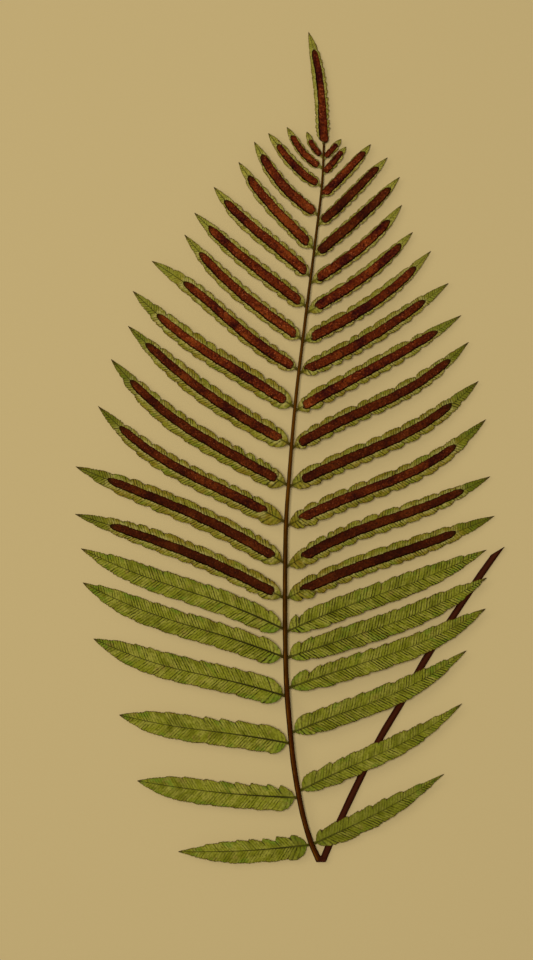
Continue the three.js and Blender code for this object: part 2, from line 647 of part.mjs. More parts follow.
function allLeaflets() {
  const lift = BLADE_THICKNESS / 2;
  const left = LEFT.map((leaflet, i) => (
    leafletForm(leaflet, -1, leftTipHeight(leaflet) + lift, LEFT_SEED + i)));
  const right = RIGHT.map((leaflet, i) => (
    leafletForm(leaflet, 1, rightTipHeight(i) + lift, RIGHT_SEED + i)));
  return [...left, ...right, leafletForm(END, -1, lift, END_SEED)];
}

function frondMesh() {
  const leaflets = allLeaflets().map(leafletSolid);
  const stalk = stipeSolid().add(foldSolid()).add(rachisSolid());
  const frond = leaflets.reduce((joined, leaflet) => joined.add(leaflet), stalk);
  const material = new THREE.MeshStandardMaterial({ color: 0x6a661d, roughness: 0.7, metalness: 0 });
  const mesh = new THREE.Mesh(geometryFromSolid(frond), material);
  mesh.name = 'frond';
  return mesh;
}

const fern = new THREE.Group();
fern.add(frondMesh());

export default fern;
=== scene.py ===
# Toothed midsorus fern: the looks of one fertile frond that lies with its sori up.
# Lengths are millimetres, and MM turns them into metres.
# +Y runs along the frond to its tip, +X to its right and +Z up.

import math

import bpy
import numpy as np
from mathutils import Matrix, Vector


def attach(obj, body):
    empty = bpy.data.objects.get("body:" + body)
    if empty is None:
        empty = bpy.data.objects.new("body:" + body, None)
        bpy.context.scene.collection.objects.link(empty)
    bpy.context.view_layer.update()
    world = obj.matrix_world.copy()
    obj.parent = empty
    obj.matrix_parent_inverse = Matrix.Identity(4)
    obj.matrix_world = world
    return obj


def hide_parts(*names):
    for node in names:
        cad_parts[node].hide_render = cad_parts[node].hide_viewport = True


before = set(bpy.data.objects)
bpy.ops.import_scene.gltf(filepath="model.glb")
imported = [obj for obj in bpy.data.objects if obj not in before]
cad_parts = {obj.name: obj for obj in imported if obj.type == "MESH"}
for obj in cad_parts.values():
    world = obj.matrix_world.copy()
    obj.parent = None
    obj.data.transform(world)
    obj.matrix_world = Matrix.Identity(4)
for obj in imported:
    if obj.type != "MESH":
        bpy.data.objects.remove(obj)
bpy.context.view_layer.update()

MM = 0.001

# The stipe, its fold and its slanting cut, in plan
STIPE_WIDTH = 3.8
STIPE = [
    (18.6, -227.4), (21, -221.5), (29.5, -202.5), (38.8, -183), (49.4, -161.5), (61.6, -141),
    (73.5, -119.5), (84.2, -102.5), (95.8, -85), (104, -72.5), (111.1, -62.5), (118.6, -51.9),
]
STIPE_SHOULDER = (110.5, -59.9)
STIPE_POINT = (118.1, -55.3)
FOLD = [(14.7, -228.8), (19.9, -228.8), (20.9, -226.2), (17.3, -225.4), (13.9, -226.2)]

# The rachis, as x, y, height of its middle and width
RACHIS = [
    (15.9, -227.4, 2.2, 3.3), (11.7, -217.5, 5.6, 3), (8.1, -205.5, 7.4, 2.9),
    (5.6, -194.5, 8.6, 2.9), (2, -172.5, 10.2, 2.9), (-0.2, -150.5, 11.2, 2.9),
    (-1.8, -128.5, 11.8, 2.8), (-2.5, -95.5, 12.2, 2.5), (-2.4, -62.5, 12.3, 2.4),
    (-1.9, -40.5, 12.3, 2.3), (-0.4, -18.5, 12.2, 2.1), (3.3, 25.5, 11.6, 1.8),
    (8.6, 69.5, 10.4, 1.7), (14.2, 113.5, 8.8, 1.4), (17.9, 145, 7.2, 1.3), (18.9, 166.5, 6, 1.2),
]

# The leaflets, from the frond's base to its tip. root is where one leaves the rachis, along Y; tip is
# its point in plan; bow is how far its middle hangs towards the frond's base, and sway how much more
# its outer half hangs and how much less its inner half; width is its greatest width, and upper the
# share of that above the midrib, towards the frond's tip; taper says how blunt it is; sori are the
# ends of its band as shares of its length, band is that band's width, dark how dark it is, slant how
# much later its lower edge starts and flare how much wider its root end is; cuts are the clearest
# notches of the upper margin, each a share of the length and a depth; teeth makes the margin's teeth
# deeper; base is the length of the rounded base above and below the midrib, as shares. USUAL has what
# a row leaves out, and BASE or RIGHT_BARREN_BASE the base.
LEFT = [
    dict(root=-218.9, tip=(-61.5, -222.8), bow=1.2, width=14.2, upper=0.46, taper=2.1,
         cuts={0.16: 1.4, 0.27: 2.7, 0.37: 1.9, 0.475: 1.2, 0.57: 0.8}),
    dict(root=-192.8, tip=(-84, -183.9), bow=1.5, width=15, upper=0.45, taper=3.7,
         cuts={0.13: 2.4, 0.205: 1.4, 0.31: 1.6, 0.405: 1.2, 0.5: 1}),
    dict(root=-162.9, tip=(-94, -147.7), bow=0.5, sway=0.6, width=15.8, upper=0.5, taper=3.8,
         cuts={0.205: 1, 0.335: 1.6, 0.425: 1.4, 0.52: 1.6}),
    dict(root=-137, tip=(-108.2, -105.7), bow=2.3, sway=1.2, width=15.6, upper=0.51, taper=4,
         cuts={0.125: 0.5, 0.225: 1, 0.3: 0.8, 0.39: 0.6, 0.46: 1, 0.55: 0.5}),
    dict(root=-115.7, tip=(-114.1, -74.8), bow=2, sway=1.2, width=14.8, upper=0.47, taper=4.2,
         cuts={0.145: 1.2, 0.27: 1.2, 0.35: 0.8, 0.445: 0.6, 0.49: 1.2, 0.58: 0.5}),
    dict(root=-100.3, tip=(-115.2, -56), bow=0.1, sway=1.3, width=14.4, upper=0.5, taper=3.5,
         cuts={0.105: 1.2, 0.19: 0.7, 0.24: 0.6, 0.35: 0.8, 0.405: 0.7, 0.51: 0.6}),
    dict(root=-83.2, tip=(-118.5, -37), bow=-3.4, sway=0.2, width=12.6, upper=0.52, taper=3.4,
         sori=(0.053, 0.836), dark=0.7,
         cuts={0.12: 0.8, 0.2: 1, 0.3: 0.9, 0.36: 0.9, 0.46: 0.9, 0.5: 1.1, 0.6: 0.9}),
    dict(root=-64, tip=(-118.1, -10.8), bow=-3.2, sway=0.6, width=13.4, upper=0.48, taper=3.7,
         sori=(0.057, 0.85), slant=1.3, dark=0.6,
         cuts={0.1: 0.9, 0.135: 1.2, 0.17: 1.3, 0.235: 0.9, 0.35: 1, 0.43: 0.7, 0.55: 0.8}),
    dict(root=-41.6, tip=(-105.7, 22.6), bow=5.5, sway=1.5, width=12.6, upper=0.45, taper=3.3,
         sori=(0.107, 0.867), slant=3, dark=0.42,
         cuts={0.13: 1, 0.185: 1.3, 0.245: 0.9, 0.3: 1.4, 0.36: 0.7, 0.42: 1.2, 0.5: 1.2}),
    dict(root=-21.4, tip=(-98.5, 48.5), bow=6.4, sway=1, width=13.1, upper=0.45, taper=3.4,
         sori=(0.06, 0.87), dark=0.42,
         cuts={0.11: 0.8, 0.145: 1, 0.185: 1.6, 0.24: 2, 0.31: 1.2, 0.385: 1.2, 0.5: 0.9}),
    dict(root=0.8, tip=(-89.2, 66.8), bow=4.7, width=12.9, sori=(0.06, 0.876), slant=1.2, dark=0.3,
         cuts={0.11: 1.1, 0.19: 1.4, 0.245: 1, 0.33: 0.7, 0.42: 0.7, 0.5: 0.9}),
    dict(root=21.5, tip=(-86.5, 86), bow=3.5, sway=0.9, width=12.7, upper=0.5, taper=3.3,
         sori=(0.054, 0.831), cuts={0.13: 0.7, 0.2: 1.8, 0.29: 0.9, 0.36: 0.7, 0.42: 0.8, 0.485: 1.6}),
    dict(root=41.9, tip=(-76, 102.5), bow=0.5, sway=-1.4, width=10.3, taper=3.8, sori=(0.036, 0.791),
         cuts={0.15: 1, 0.21: 1.2, 0.28: 1, 0.36: 0.7, 0.45: 0.8}),
    dict(root=58.6, tip=(-58, 117), bow=3.5, sway=0.3, width=10.3, sori=(0.049, 0.853), slant=-1),
    dict(root=76.6, tip=(-52.5, 129), bow=1.7, sway=0.3, width=10.2, sori=(0.052, 0.865), slant=-1),
    dict(root=93.3, tip=(-41.8, 143.2), bow=1.6, sway=0.7, width=10.1, sori=(0.044, 0.869), slant=-1),
    dict(root=108.4, tip=(-28.1, 156.9), bow=2.1, sway=0.3, width=9.2, sori=(0.067, 0.851), slant=-1),
    dict(root=127.1, tip=(-19.5, 168), bow=3.9, sway=-0.1, width=8.4, upper=0.47, sori=(0.046, 0.849)),
    dict(root=143, tip=(-11.8, 172.7), bow=2.4, sway=-0.4, width=7.4, upper=0.51, sori=(0.06, 0.804),
         band=4),
    dict(root=153, tip=(-1.5, 176), bow=2.5, sway=-0.3, width=5.8, upper=0.5, sori=(0.08, 0.824)),
    dict(root=159, tip=(9.5, 173.5), bow=1.4, width=4.8, upper=0.5, sori=(0.1, 0.725)),
]
RIGHT = [
    dict(root=-218.9, tip=(85.2, -179.9), bow=1.6, sway=0.1, width=13.2, upper=0.47, taper=1.6,
         cuts={0.1: 1.2, 0.22: 0.5, 0.3: 0.8, 0.38: 0.6}),
    dict(root=-189.4, tip=(95.1, -141.2), bow=2.9, sway=1.1, width=13.4, upper=0.52, taper=2.1,
         cuts={0.14: 1.4, 0.23: 1.3, 0.3: 0.8, 0.37: 0.6, 0.5: 0.8, 0.67: 1}),
    dict(root=-157.2, tip=(97.5, -112), bow=4, sway=1.1, width=14.2, upper=0.5, taper=2.4,
         cuts={0.14: 0.8, 0.21: 0.8, 0.28: 0.6, 0.35: 1, 0.43: 0.8, 0.58: 1}),
    dict(root=-132.7, tip=(108, -89), bow=3.5, sway=1.1, width=13.8, upper=0.48, taper=3.6,
         cuts={0.125: 2.6, 0.19: 0.8, 0.24: 1, 0.3: 0.8, 0.38: 1.2, 0.44: 1}),
    dict(root=-116, tip=(108.7, -72), bow=3.7, sway=0.8, width=14.2, upper=0.5, taper=3.4,
         cuts={0.09: 1.5, 0.15: 0.8, 0.3: 0.7, 0.4: 0.8, 0.48: 0.6}),
    dict(root=-101.7, tip=(108.8, -56.7), bow=0.5, sway=0.9, width=14, upper=0.5, taper=2.8,
         cuts={0.085: 2.6, 0.15: 0.5, 0.21: 0.6, 0.3: 0.6, 0.4: 0.7, 0.49: 1.4}),
    dict(root=-83.6, tip=(113.2, -38), bow=-0.9, sway=1.1, width=12.6, upper=0.51, sori=(0.094, 0.813),
         slant=5, dark=0.7, cuts={0.09: 0.6, 0.17: 1.5, 0.27: 0.8, 0.4: 0.6, 0.5: 0.8}),
    dict(root=-66.2, tip=(110.8, -16.2), bow=-1, sway=1.7, width=12.2, sori=(0.09, 0.865), slant=2,
         dark=0.62, base=(0.2, 0.08),
         cuts={0.125: 1, 0.17: 0.9, 0.225: 2.2, 0.26: 0.8, 0.31: 1.3, 0.39: 1.3, 0.47: 1.2, 0.57: 1.2}),
    dict(root=-43.7, tip=(108.4, 15.3), bow=5.4, sway=2.2, width=12.5, upper=0.48, taper=3.3,
         sori=(0.075, 0.828), slant=3, dark=0.4,
         cuts={0.1: 1.3, 0.17: 1.8, 0.25: 0.5, 0.31: 1.7, 0.4: 1.1, 0.54: 1, 0.61: 0.9}),
    dict(root=-22.2, tip=(104.3, 36.4), bow=5.2, sway=1.7, width=12, taper=3.6, sori=(0.069, 0.84),
         dark=0.55, cuts={0.18: 1.3, 0.28: 0.8, 0.4: 1.3, 0.48: 0.8, 0.58: 0.8}),
    dict(root=-0.9, tip=(98.9, 57.9), bow=4.2, sway=1.8, width=11, upper=0.52, sori=(0.043, 0.877),
         dark=0.42,
         cuts={0.11: 0.7, 0.175: 1.4, 0.25: 0.8, 0.37: 1.5, 0.43: 0.9, 0.57: 1.1, 0.69: 1.2}),
    dict(root=19.6, tip=(94.8, 72.6), bow=1.2, sway=0.4, width=11.3, upper=0.5, taper=2.5,
         sori=(0.048, 0.849), slant=-1, dark=0.1,
         cuts={0.09: 0.8, 0.21: 0.8, 0.31: 1.2, 0.42: 0.8, 0.54: 0.8, 0.7: 1.5}),
    dict(root=40.2, tip=(87.8, 90.3), bow=3.3, sway=-0.2, width=10.9, upper=0.52, taper=2.7,
         sori=(0.05, 0.832), slant=3, dark=0.2,
         cuts={0.16: 1.2, 0.2: 0.8, 0.34: 1.4, 0.4: 0.9, 0.5: 0.8}),
    dict(root=57.4, tip=(78, 108), bow=5, sway=0.4, width=9.9, upper=0.55, taper=2.8,
         sori=(0.059, 0.862), slant=-1, dark=0.1, cuts={0.15: 1.2, 0.19: 0.8, 0.33: 1.6}),
    dict(root=73.2, tip=(68, 118.4), bow=3.3, sway=0.3, width=8.8, upper=0.53, sori=(0.084, 0.875),
         slant=1, cuts={0.22: 0.6, 0.37: 1.3}),
    dict(root=89.5, tip=(62, 133.4), bow=3.2, sway=0.3, width=8.2, upper=0.47, sori=(0.07, 0.837),
         slant=-1, cuts={0.24: 1.2, 0.42: 0.8}),
    dict(root=104.4, tip=(60.8, 148.7), bow=1.4, sway=0.2, width=8.1, upper=0.51, sori=(0.057, 0.876),
         dark=0.45),
    dict(root=121.3, tip=(54.1, 159.4), bow=0.6, sway=-0.2, width=7.3, upper=0.48, sori=(0.065, 0.862),
         dark=0.45),
    dict(root=136.7, tip=(44.8, 166.7), bow=0.4, sway=0.1, width=6.8, upper=0.45, sori=(0.055, 0.868),
         slant=1.5),
    dict(root=149.5, tip=(31.2, 165.3), bow=0, width=5.4, upper=0.43, sori=(0.08, 0.83)),
    dict(root=158, tip=(28.5, 169.5), bow=0.1, width=4.6, upper=0.45, sori=(0.1, 0.757)),
]
END = dict(root=166, tip=(10.5, 229), bow=-2.4, sway=-0.3, width=8.6, sori=(0.02, 0.837), band=4.1,
           flare=1.2, slant=1.2, teeth=1.9)
USUAL = dict(
    sway=0, upper=0.49, taper=3.1, sori=None, band=None, dark=0, slant=0, flare=1, cuts={}, teeth=1,
)

# The sides above and below a midrib. Where both have their own values, these stand in this order.
EDGES = (1, -1)

# The margins' lobes: their lengths and depths at the leaflet's root and at its tip, the place of
# their highest point, and how sharply they rise from a notch and drop to the next one
LOBES = {
    "barren": (
        dict(size=(8.5, 11), depth=(1.4, 0.5), peak=0.9, rise=1.3, drop=1),
        dict(size=(11, 13), depth=(0.7, 0.4), peak=0.8, rise=1.6, drop=1.5),
    ),
    "left": (
        dict(size=(6.5, 10), depth=(1.5, 0.6), peak=0.62, rise=3, drop=2.6),
        dict(size=(10, 11.5), depth=(1, 0.5), peak=0.7, rise=1.6, drop=1.5),
    ),
    "right": (
        dict(size=(9, 11), depth=(1.2, 0.5), peak=0.6, rise=3, drop=2.6),
        dict(size=(8, 10), depth=(1.3, 0.6), peak=0.65, rise=2.2, drop=2),
    ),
    "end": (
        dict(size=(4.5, 7), depth=(1.2, 0.4), peak=0.8, rise=1.3, drop=1),
        dict(size=(6, 7), depth=(0.5, 0.3), peak=0.7, rise=2, drop=2),
    ),
}
LOBE_SCATTER = (0.75, 1.25)
SIZE_SEEDS = (3.7, 1.31, 0.7)
DEPTH_SEEDS = (1.9, 2.17, 0.4)
FULL_LOBE_WIDTH = 12
LEAST_LOBE_SHARE = 0.55
LAST_LOBE = 4
LEAST_HALF_WIDTH = 0.5
DEEPEST = 0.78
FERTILE_CUT = 1.2

# The leaflets' bases, heights and cross sections
WIDEST_TO = 0.45
SLAB = 0.7
NECK_WIDTH = 1.6
NECK_LENGTH = 1.4
NECK_INTO_BASE = 0.5
INSIDE_RACHIS = 0.3
BASE = (0.12, 0.09)
RIGHT_BARREN_BASE = (0.075, 0.22)
SHORTEST_BASE = 5
ROOF_SLOPE = 0.12
LEAFLET_ARCH = 2.4
LONGEST_LEAFLET = 126
EDGE_WAVE = 0.5
WAVES = 1.5
MOST_ROLL = math.radians(4)
FREE_FROM = 0.25
RESTING_Y = -24
RESTING_REACH = 14
LEFT_TIP_RISE = 3.5
LEFT_RISE_CURVE = 1.5
RISE_OVER = 150
OVER_STIPE = 5.2
OVER_STIPE_PAIRS = 5
RIGHT_TIP_RISE = (1.6, 4.2)
LEFT_SEED = 1
RIGHT_SEED = 31
END_SEED = 61

# The veins: how far apart they leave the midrib, and how far they run on towards the tip for each
# millimetre off it. That grows to its full value over the blade's first LEAN_OVER.
VEINS = {
    "left_barren": dict(pitch=(1.7, 1.7), lean=(0.8, 0.7)),
    "right_barren": dict(pitch=(1.7, 1.7), lean=(0.6, 0.8)),
    "left_fertile": dict(pitch=(1.65, 1.7), lean=(0.8, 0.8)),
    "right_fertile": dict(pitch=(1.5, 1.6), lean=(0.5, 0.6)),
}
LEAN_OVER = 7
LEAST_PITCH_SHARE = 0.75
LOWER_VEIN_SHIFT = 0.45
VEIN_RELIEF = 0.05
VEIN_RISE = 1.2

# The margin's fine forward teeth, and its coarser ragged ones
FINE_PITCH = 1.4
FINE_DEPTH = 0.42
FINE_SCATTER = (0.3, 1.5)
FINE_CURVE = 1.3
COARSE_PITCH = 3.3
COARSE_DEPTH = 0.45
TOOTH_SEEDS = (0.37, 0.71)
TOOTH_SHIFT = 0.3
TOOTH_WANDER = (0.35, 0.2)
TOOTH_WANDER_RATE = (0.9, 2.3)
FULL_TEETH_FROM = 3

# The fine form of a blade: steps in millimetres, and columns as shares of its half width
ROW_STEP = 0.35
PROFILE_STEP = 0.05
REACH_STEP = 0.1
LEAST_REACH = 0.06
TIP_GAP = 0.25
TOP_COLUMNS = (0.04, 0.1, 0.22, 0.37, 0.52, 0.67, 0.81, 0.92, 1)
BOTTOM_COLUMNS = (0.07, 0.5, 1)
MIDDLE_THICKNESS = 0.55
EDGE_THICKNESS = 0.24
THICKNESS_CURVE = 1.5
RIDGE_HEIGHT = 0.5
RIDGE_LOSS = 0.75
RIDGE_WIDTH = 0.42
GROOVE = 0.2
DETAIL_FADE = 4
RIPPLE = 0.22
RIPPLE_LENGTH = 17
RIPPLE_SHIFT = 2.1
RIPPLE_TURN = 3
RIPPLE_FADES = (6, 4)
RIM_PARTS = 8
NO_SORI = 30
NO_CUT = 30

# The sori: a band's width, with its shares at places along it, its edges' waves and cross section
SORI_HEIGHT = 0.9
SORI_WIDEST = 5.15
SORI_WIDTH_SHARE = 0.64
SORI_PLACES = (0, 0.25, 0.6, 1)
SORI_WIDTHS = (1.03, 1.1, 1.01, 0.88)
SORI_END_WIDTH = 0.08
SORI_END_HEIGHT = 0.25
SORI_ROOT_ROUND = 0.55
SORI_TIP_ROUND = 1.5
SORI_WAVES = ((23, 0.03), (11, 0.03), (5.3, 0.03), (2.4, 0.035))
SORI_SHOULDER = 0.34
SHOULDER_CURVE = 0.7
SORI_GROOVE = 0.14
SORI_GROOVE_WIDTH = 0.12
SORI_SUNK = 0.12
SORI_FOOT = 0.15
SORI_SEED = 1000
SORI_TIP_SEED = 0.9
WAVE_SEED = 0.3
WAVE_SHIFT = 6.3
FLARE_TO = 0.5
FULL_END_LENGTH = 90
GRAIN = 0.34
GRAIN_LIFT = 0.1
GRAIN_JITTER = 0.09
GRAIN_DRAWN = 0.5
GRAIN_SPREAD = 1.1
GRAIN_FADE = 5
LEAST_GRAINS = 7

SCATTER_RATE = 12.9898
SCATTER_SIZE = 43758.5453
HALVINGS = 40


def scatter(seed):
    """Repeatable scatter between 0 and 1."""
    value = np.sin(np.asarray(seed, dtype=float) * SCATTER_RATE) * SCATTER_SIZE
    return value - np.floor(value)


def lerp(a, b, t):
    return a + (b - a) * t


def smooth(x):
    x = np.clip(x, 0, 1)
    return x * x * (3 - 2 * x)


def curve_point(points, t):
    """A smooth curve through points, spaced by the square root of their distances."""
    p = np.array(points, dtype=float)
    p = np.vstack([2 * p[0] - p[1], p, 2 * p[-1] - p[-2]])
    place = t * (len(points) - 1)
    i = min(int(place), len(points) - 2)
    weight = place - i
    p0, p1, p2, p3 = p[i:i + 4]
    d0, d1, d2 = np.sqrt(np.linalg.norm(np.diff(p[i:i + 4], axis=0), axis=1))
    m1 = ((p1 - p0) / d0 - (p2 - p0) / (d0 + d1) + (p2 - p1) / d1) * d1
    m2 = ((p2 - p1) / d1 - (p3 - p1) / (d1 + d2) + (p3 - p2) / d2) * d1
    a = -3 * p1 + 3 * p2 - 2 * m1 - m2
    b = 2 * p1 - 2 * p2 + m1 + m2
    return p1 + m1 * weight + a * weight**2 + b * weight**3


def rachis_at(y):
    """The rachis's middle and width beside a leaflet's root."""
    points = [p[:3] for p in RACHIS]
    low, high = 0, 1
    for _ in range(HALVINGS):
        half = (low + high) / 2
        if curve_point(points, half)[1] < y:
            low = half
        else:
            high = half
    width = np.interp(low * (len(RACHIS) - 1), range(len(RACHIS)), [p[3] for p in RACHIS])
    return curve_point(points, low), width


class Leaflet:
    """One leaflet's form: t runs from root to tip, and v is millimetres off the midrib."""

    def __init__(self, name, row, side, tip_rise, seed):
        own = dict(name=name, side=side, tip_height=tip_rise + SLAB / 2, seed=seed)
        vars(self).update(USUAL | row | own)
        half = "left" if side < 0 else "right"
        veins = VEINS[half + ("_fertile" if self.sori else "_barren")]
        lobes = "end" if name == "end" else half if self.sori else "barren"
        self.lobes = dict(zip(EDGES, LOBES[lobes]))
        self.place, rachis_width = rachis_at(self.root)
        reach = np.array(self.tip) - self.place[:2]
        self.length = np.linalg.norm(reach)
        self.along = reach / self.length
        self.up = np.array([-self.along[1], self.along[0]]) * side
        self.inside = INSIDE_RACHIS * rachis_width / self.length
        self.blade_start = (rachis_width / 2 + NECK_LENGTH) / self.length
        usual = RIGHT_BARREN_BASE if side > 0 and not self.sori else BASE
        shortest = SHORTEST_BASE / self.length
        self.base = {edge: max(b, shortest) for edge, b in zip(EDGES, row.get("base", usual))}
        self.roll = MOST_ROLL * (2 * scatter(seed) - 1)
        self.phase = scatter(seed + 0.5) * math.tau
        self.arch = LEAFLET_ARCH * self.length / LONGEST_LEAFLET
        self.tone = scatter(seed + 0.25)
        self.finer = min(1, max(LEAST_LOBE_SHARE, self.width / FULL_LOBE_WIDTH))
        self.sori_width = self.band or min(SORI_WIDEST, SORI_WIDTH_SHARE * self.width)
        finer_pitch = max(LEAST_PITCH_SHARE, self.finer)
        self.pitch = {edge: pitch * finer_pitch for edge, pitch in zip(EDGES, veins["pitch"])}
        self.most_lean = dict(zip(EDGES, veins["lean"]))
        self.notches = {edge: self.find_notches(edge) for edge in EDGES}
        self.profiles = {edge: self.profile(edge) for edge in EDGES}

    def surface(self, t, v):
        """The upper face of the plain slab."""
        hang = self.bow * np.sin(math.pi * t) - self.sway * np.sin(math.tau * t)
        bend = self.bow * np.cos(math.pi * t) - 2 * self.sway * np.cos(math.tau * t)
        slope = math.pi * bend / self.length
        place, along, up = (part[:2, None, None] for part in (self.place, self.along, self.up))
        normal = (up + along * slope) / np.hypot(1, slope)
        x, y = place + along * self.length * t - up * hang + normal * v
        spine = lerp(self.place[2], self.tip_height, t) + self.arch * np.sin(math.pi * t)
        free = np.minimum(1, t / FREE_FROM) * np.minimum(1, (1 - t) / FREE_FROM)
        wave = EDGE_WAVE * np.sin(math.tau * WAVES * t + self.phase) * (v / self.width) * 2
        z = spine + free * (math.tan(self.roll) * v - ROOF_SLOPE * np.abs(v) + wave)
        return x, y, z + SLAB / 2

    def half_width(self, t, edge):
        """How wide the blade is on one side of its midrib, without its lobes."""
        share = self.upper if edge > 0 else 1 - self.upper
        rise = np.clip((t - self.blade_start) / self.base[edge], 0, 1)
        base = np.sqrt(1 - (1 - rise) ** 2)
        run = np.clip((t - WIDEST_TO) / (1 - WIDEST_TO), 0, 1)
        return self.width * share * base * (1 - run**self.taper)

    def lobe_scatter(self, seeds, lobe, edge):
        own, step, side = seeds
        return lerp(*LOBE_SCATTER, scatter(self.seed * own + lobe * step + edge * side))

    def find_notches(self, edge):
        """Where each lobe of one margin ends, and how deep its notch is."""
        kind = self.lobes[edge]
        found = list(self.cuts.items()) if edge > 0 else []
        at = found[-1][0] if found else self.blade_start
        lobe = 0
        while True:
            size = lerp(*kind["size"], at) * self.lobe_scatter(SIZE_SEEDS, lobe, edge)
            at += size * self.finer / self.length
            if at > 1 - LAST_LOBE / self.length:
                break
            depth = lerp(*kind["depth"], at) * self.lobe_scatter(DEPTH_SEEDS, lobe, edge)
            found.append((at, depth * self.finer))
            lobe += 1
        spared = self.sori_width / 2 if self.sori else 0
        cut = []
        for notch, depth in found:
            outer = self.half_width(notch, edge)
            depth *= FERTILE_CUT if self.sori else 1
            depth = min(depth, max(0, outer - spared) * DEEPEST)
            cut.append((notch, min(depth, max(0, outer - LEAST_HALF_WIDTH))))
        return cut

    def profile(self, edge):
        """The half width with its lobes and teeth, at small steps of t."""
        kind = self.lobes[edge]
        t = np.linspace(0, 1, int(self.length / PROFILE_STEP))
        fall = np.zeros_like(t)
        before = self.blade_start
        before_cut = 0.0
        for notch, cut in [*self.notches[edge], (1.0, 0.0)]:
            top = lerp(before, notch, kind["peak"])
            rising = (t >= before) & (t < top)
            fall[rising] = before_cut * ((top - t[rising]) / (top - before)) ** kind["rise"]
            dropping = (t >= top) & (t < notch)
            fall[dropping] = cut * ((t[dropping] - top) / (notch - top)) ** kind["drop"]
            before = notch
            before_cut = cut
        envelope = self.half_width(t, edge)
        half = envelope - fall - self.teeth_at(t, edge) * np.minimum(1, envelope / FULL_TEETH_FROM)
        at_neck = t < self.blade_start + NECK_INTO_BASE * self.base[edge]
        return t, np.maximum(half, np.where(at_neck, NECK_WIDTH / 2, 0))

    def teeth_at(self, t, edge):
        """How deep the teeth cut into a margin."""
        far = t * self.length
        (slow, quick), (slow_rate, quick_rate) = TOOTH_WANDER, TOOTH_WANDER_RATE
        wander = slow * np.sin(far * slow_rate + self.seed) + quick * np.sin(far * quick_rate + edge)
        fine = far / FINE_PITCH + wander + TOOTH_SHIFT * edge
        coarse = far / COARSE_PITCH + 2 * wander
        fine_seed, coarse_seed = (self.seed * factor for factor in TOOTH_SEEDS)
        depth = FINE_DEPTH * lerp(*FINE_SCATTER, scatter(np.floor(fine) + fine_seed))
        rough = COARSE_DEPTH * scatter(np.floor(coarse) + coarse_seed + edge)
        teeth = depth * (1 - fine % 1) ** FINE_CURVE + rough * (1 - coarse % 1)
        return teeth * self.teeth * self.finer

    def lean(self, s, edge):
        """How far a vein runs on towards the tip, for each millimetre off the midrib."""
        return self.most_lean[edge] * smooth((s - self.blade_start) * self.length / LEAN_OVER)

    def reach(self, s, edge):
        """How far off the midrib the vein that leaves it at s first meets the margin."""
        places, halves = self.profiles[edge]
        v = np.arange(0, self.width, REACH_STEP)
        t = s[:, None] + self.lean(s, edge)[:, None] * v / self.length
        left = np.interp(t, places, halves, right=0) - v
        out = np.maximum(np.argmax(left < 0, axis=1), 1)
        rows = np.arange(len(s))
        inner = np.maximum(left[rows, out - 1], 0)
        outer = left[rows, out]
        return v[out - 1] + REACH_STEP * inner / np.maximum(inner - outer, 1e-6)

    def cut_lines(self, s, edge, half):
        """Millimetres from each vein to the nearest notch's own vein, and how deep that notch is."""
        found = self.notches[edge]
        if not found:
            return np.full(len(s), NO_CUT), np.zeros(len(s))
        margin = np.maximum.accumulate(s * self.length + self.lean(s, edge) * half)
        at = np.interp([notch * self.length for notch, _ in found], margin, s * self.length)
        off = np.abs(s[:, None] * self.length - at[None, :])
        nearest = off.argmin(axis=1)
        return off.min(axis=1), np.array([cut for _, cut in found])[nearest]

    def beside(self, t, v):
        """Millimetres to the band of sori."""
        if not self.sori:
            return NO_SORI + 0 * t
        first, last = self.sori
        ends = np.maximum(first - t, t - last) * self.length
        return np.maximum(np.abs(v) - self.sori_width / 2, ends)


def left_tip_rise(row):
    away = max(0, abs(row["tip"][1] - RESTING_Y) - RESTING_REACH)
    return LEFT_TIP_RISE * (away / RISE_OVER) ** LEFT_RISE_CURVE


def right_tip_rise(index):
    if index < OVER_STIPE_PAIRS:
        return OVER_STIPE
    share = (index - OVER_STIPE_PAIRS) / (len(RIGHT) - OVER_STIPE_PAIRS - 1)
    return lerp(*RIGHT_TIP_RISE, share)


def all_leaflets():
    found = []
    for i, row in enumerate(LEFT):
        found.append(Leaflet(f"left_{i + 1:02d}", row, -1, left_tip_rise(row), LEFT_SEED + i))
    for i, row in enumerate(RIGHT):
        found.append(Leaflet(f"right_{i + 1:02d}", row, 1, right_tip_rise(i), RIGHT_SEED + i))
    found.append(Leaflet("end", END, -1, 0, END_SEED))
    return found


# Turning arrays into objects
def make_object(name, points, faces, values, material):
    """points are millimetres; values maps an attribute's name to one vector for each point."""
    mesh = bpy.data.meshes.new(name)
    mesh.from_pydata((np.asarray(points) * MM).tolist(), [], faces)
    for key, array in values.items():
        attribute = mesh.attributes.new(key, "FLOAT_VECTOR", "POINT")
        attribute.data.foreach_set("vector", np.asarray(array, dtype=np.float32).ravel())
    mesh.validate()
    mesh.shade_smooth()
    mesh.materials.append(material)
    piece = bpy.data.objects.new(name, mesh)
    bpy.context.collection.objects.link(piece)
    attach(piece, "root")
    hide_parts("frond")


def numbered(rows, columns, first=0):
    """The numbers of a grid's points, which are stored row by row."""
    return first + np.arange(rows * columns).reshape(rows, columns)


def grid_faces(grid, flip, wrap=False):
    """Quads between neighbours in a grid of point numbers, turned over if flip."""
    if wrap:
        grid = np.hstack([grid, grid[:, :1]])
    quads = np.stack([grid[:-1, :-1], grid[:-1, 1:], grid[1:, 1:], grid[1:, :-1]], axis=-1)
    quads = quads.reshape(-1, 4)
    return (quads[:, ::-1] if flip else quads).tolist()


def vectors(*parts):
    """One row of three numbers for each point of a grid."""
    return np.stack(np.broadcast_arrays(*parts), axis=-1).reshape(-1, 3)


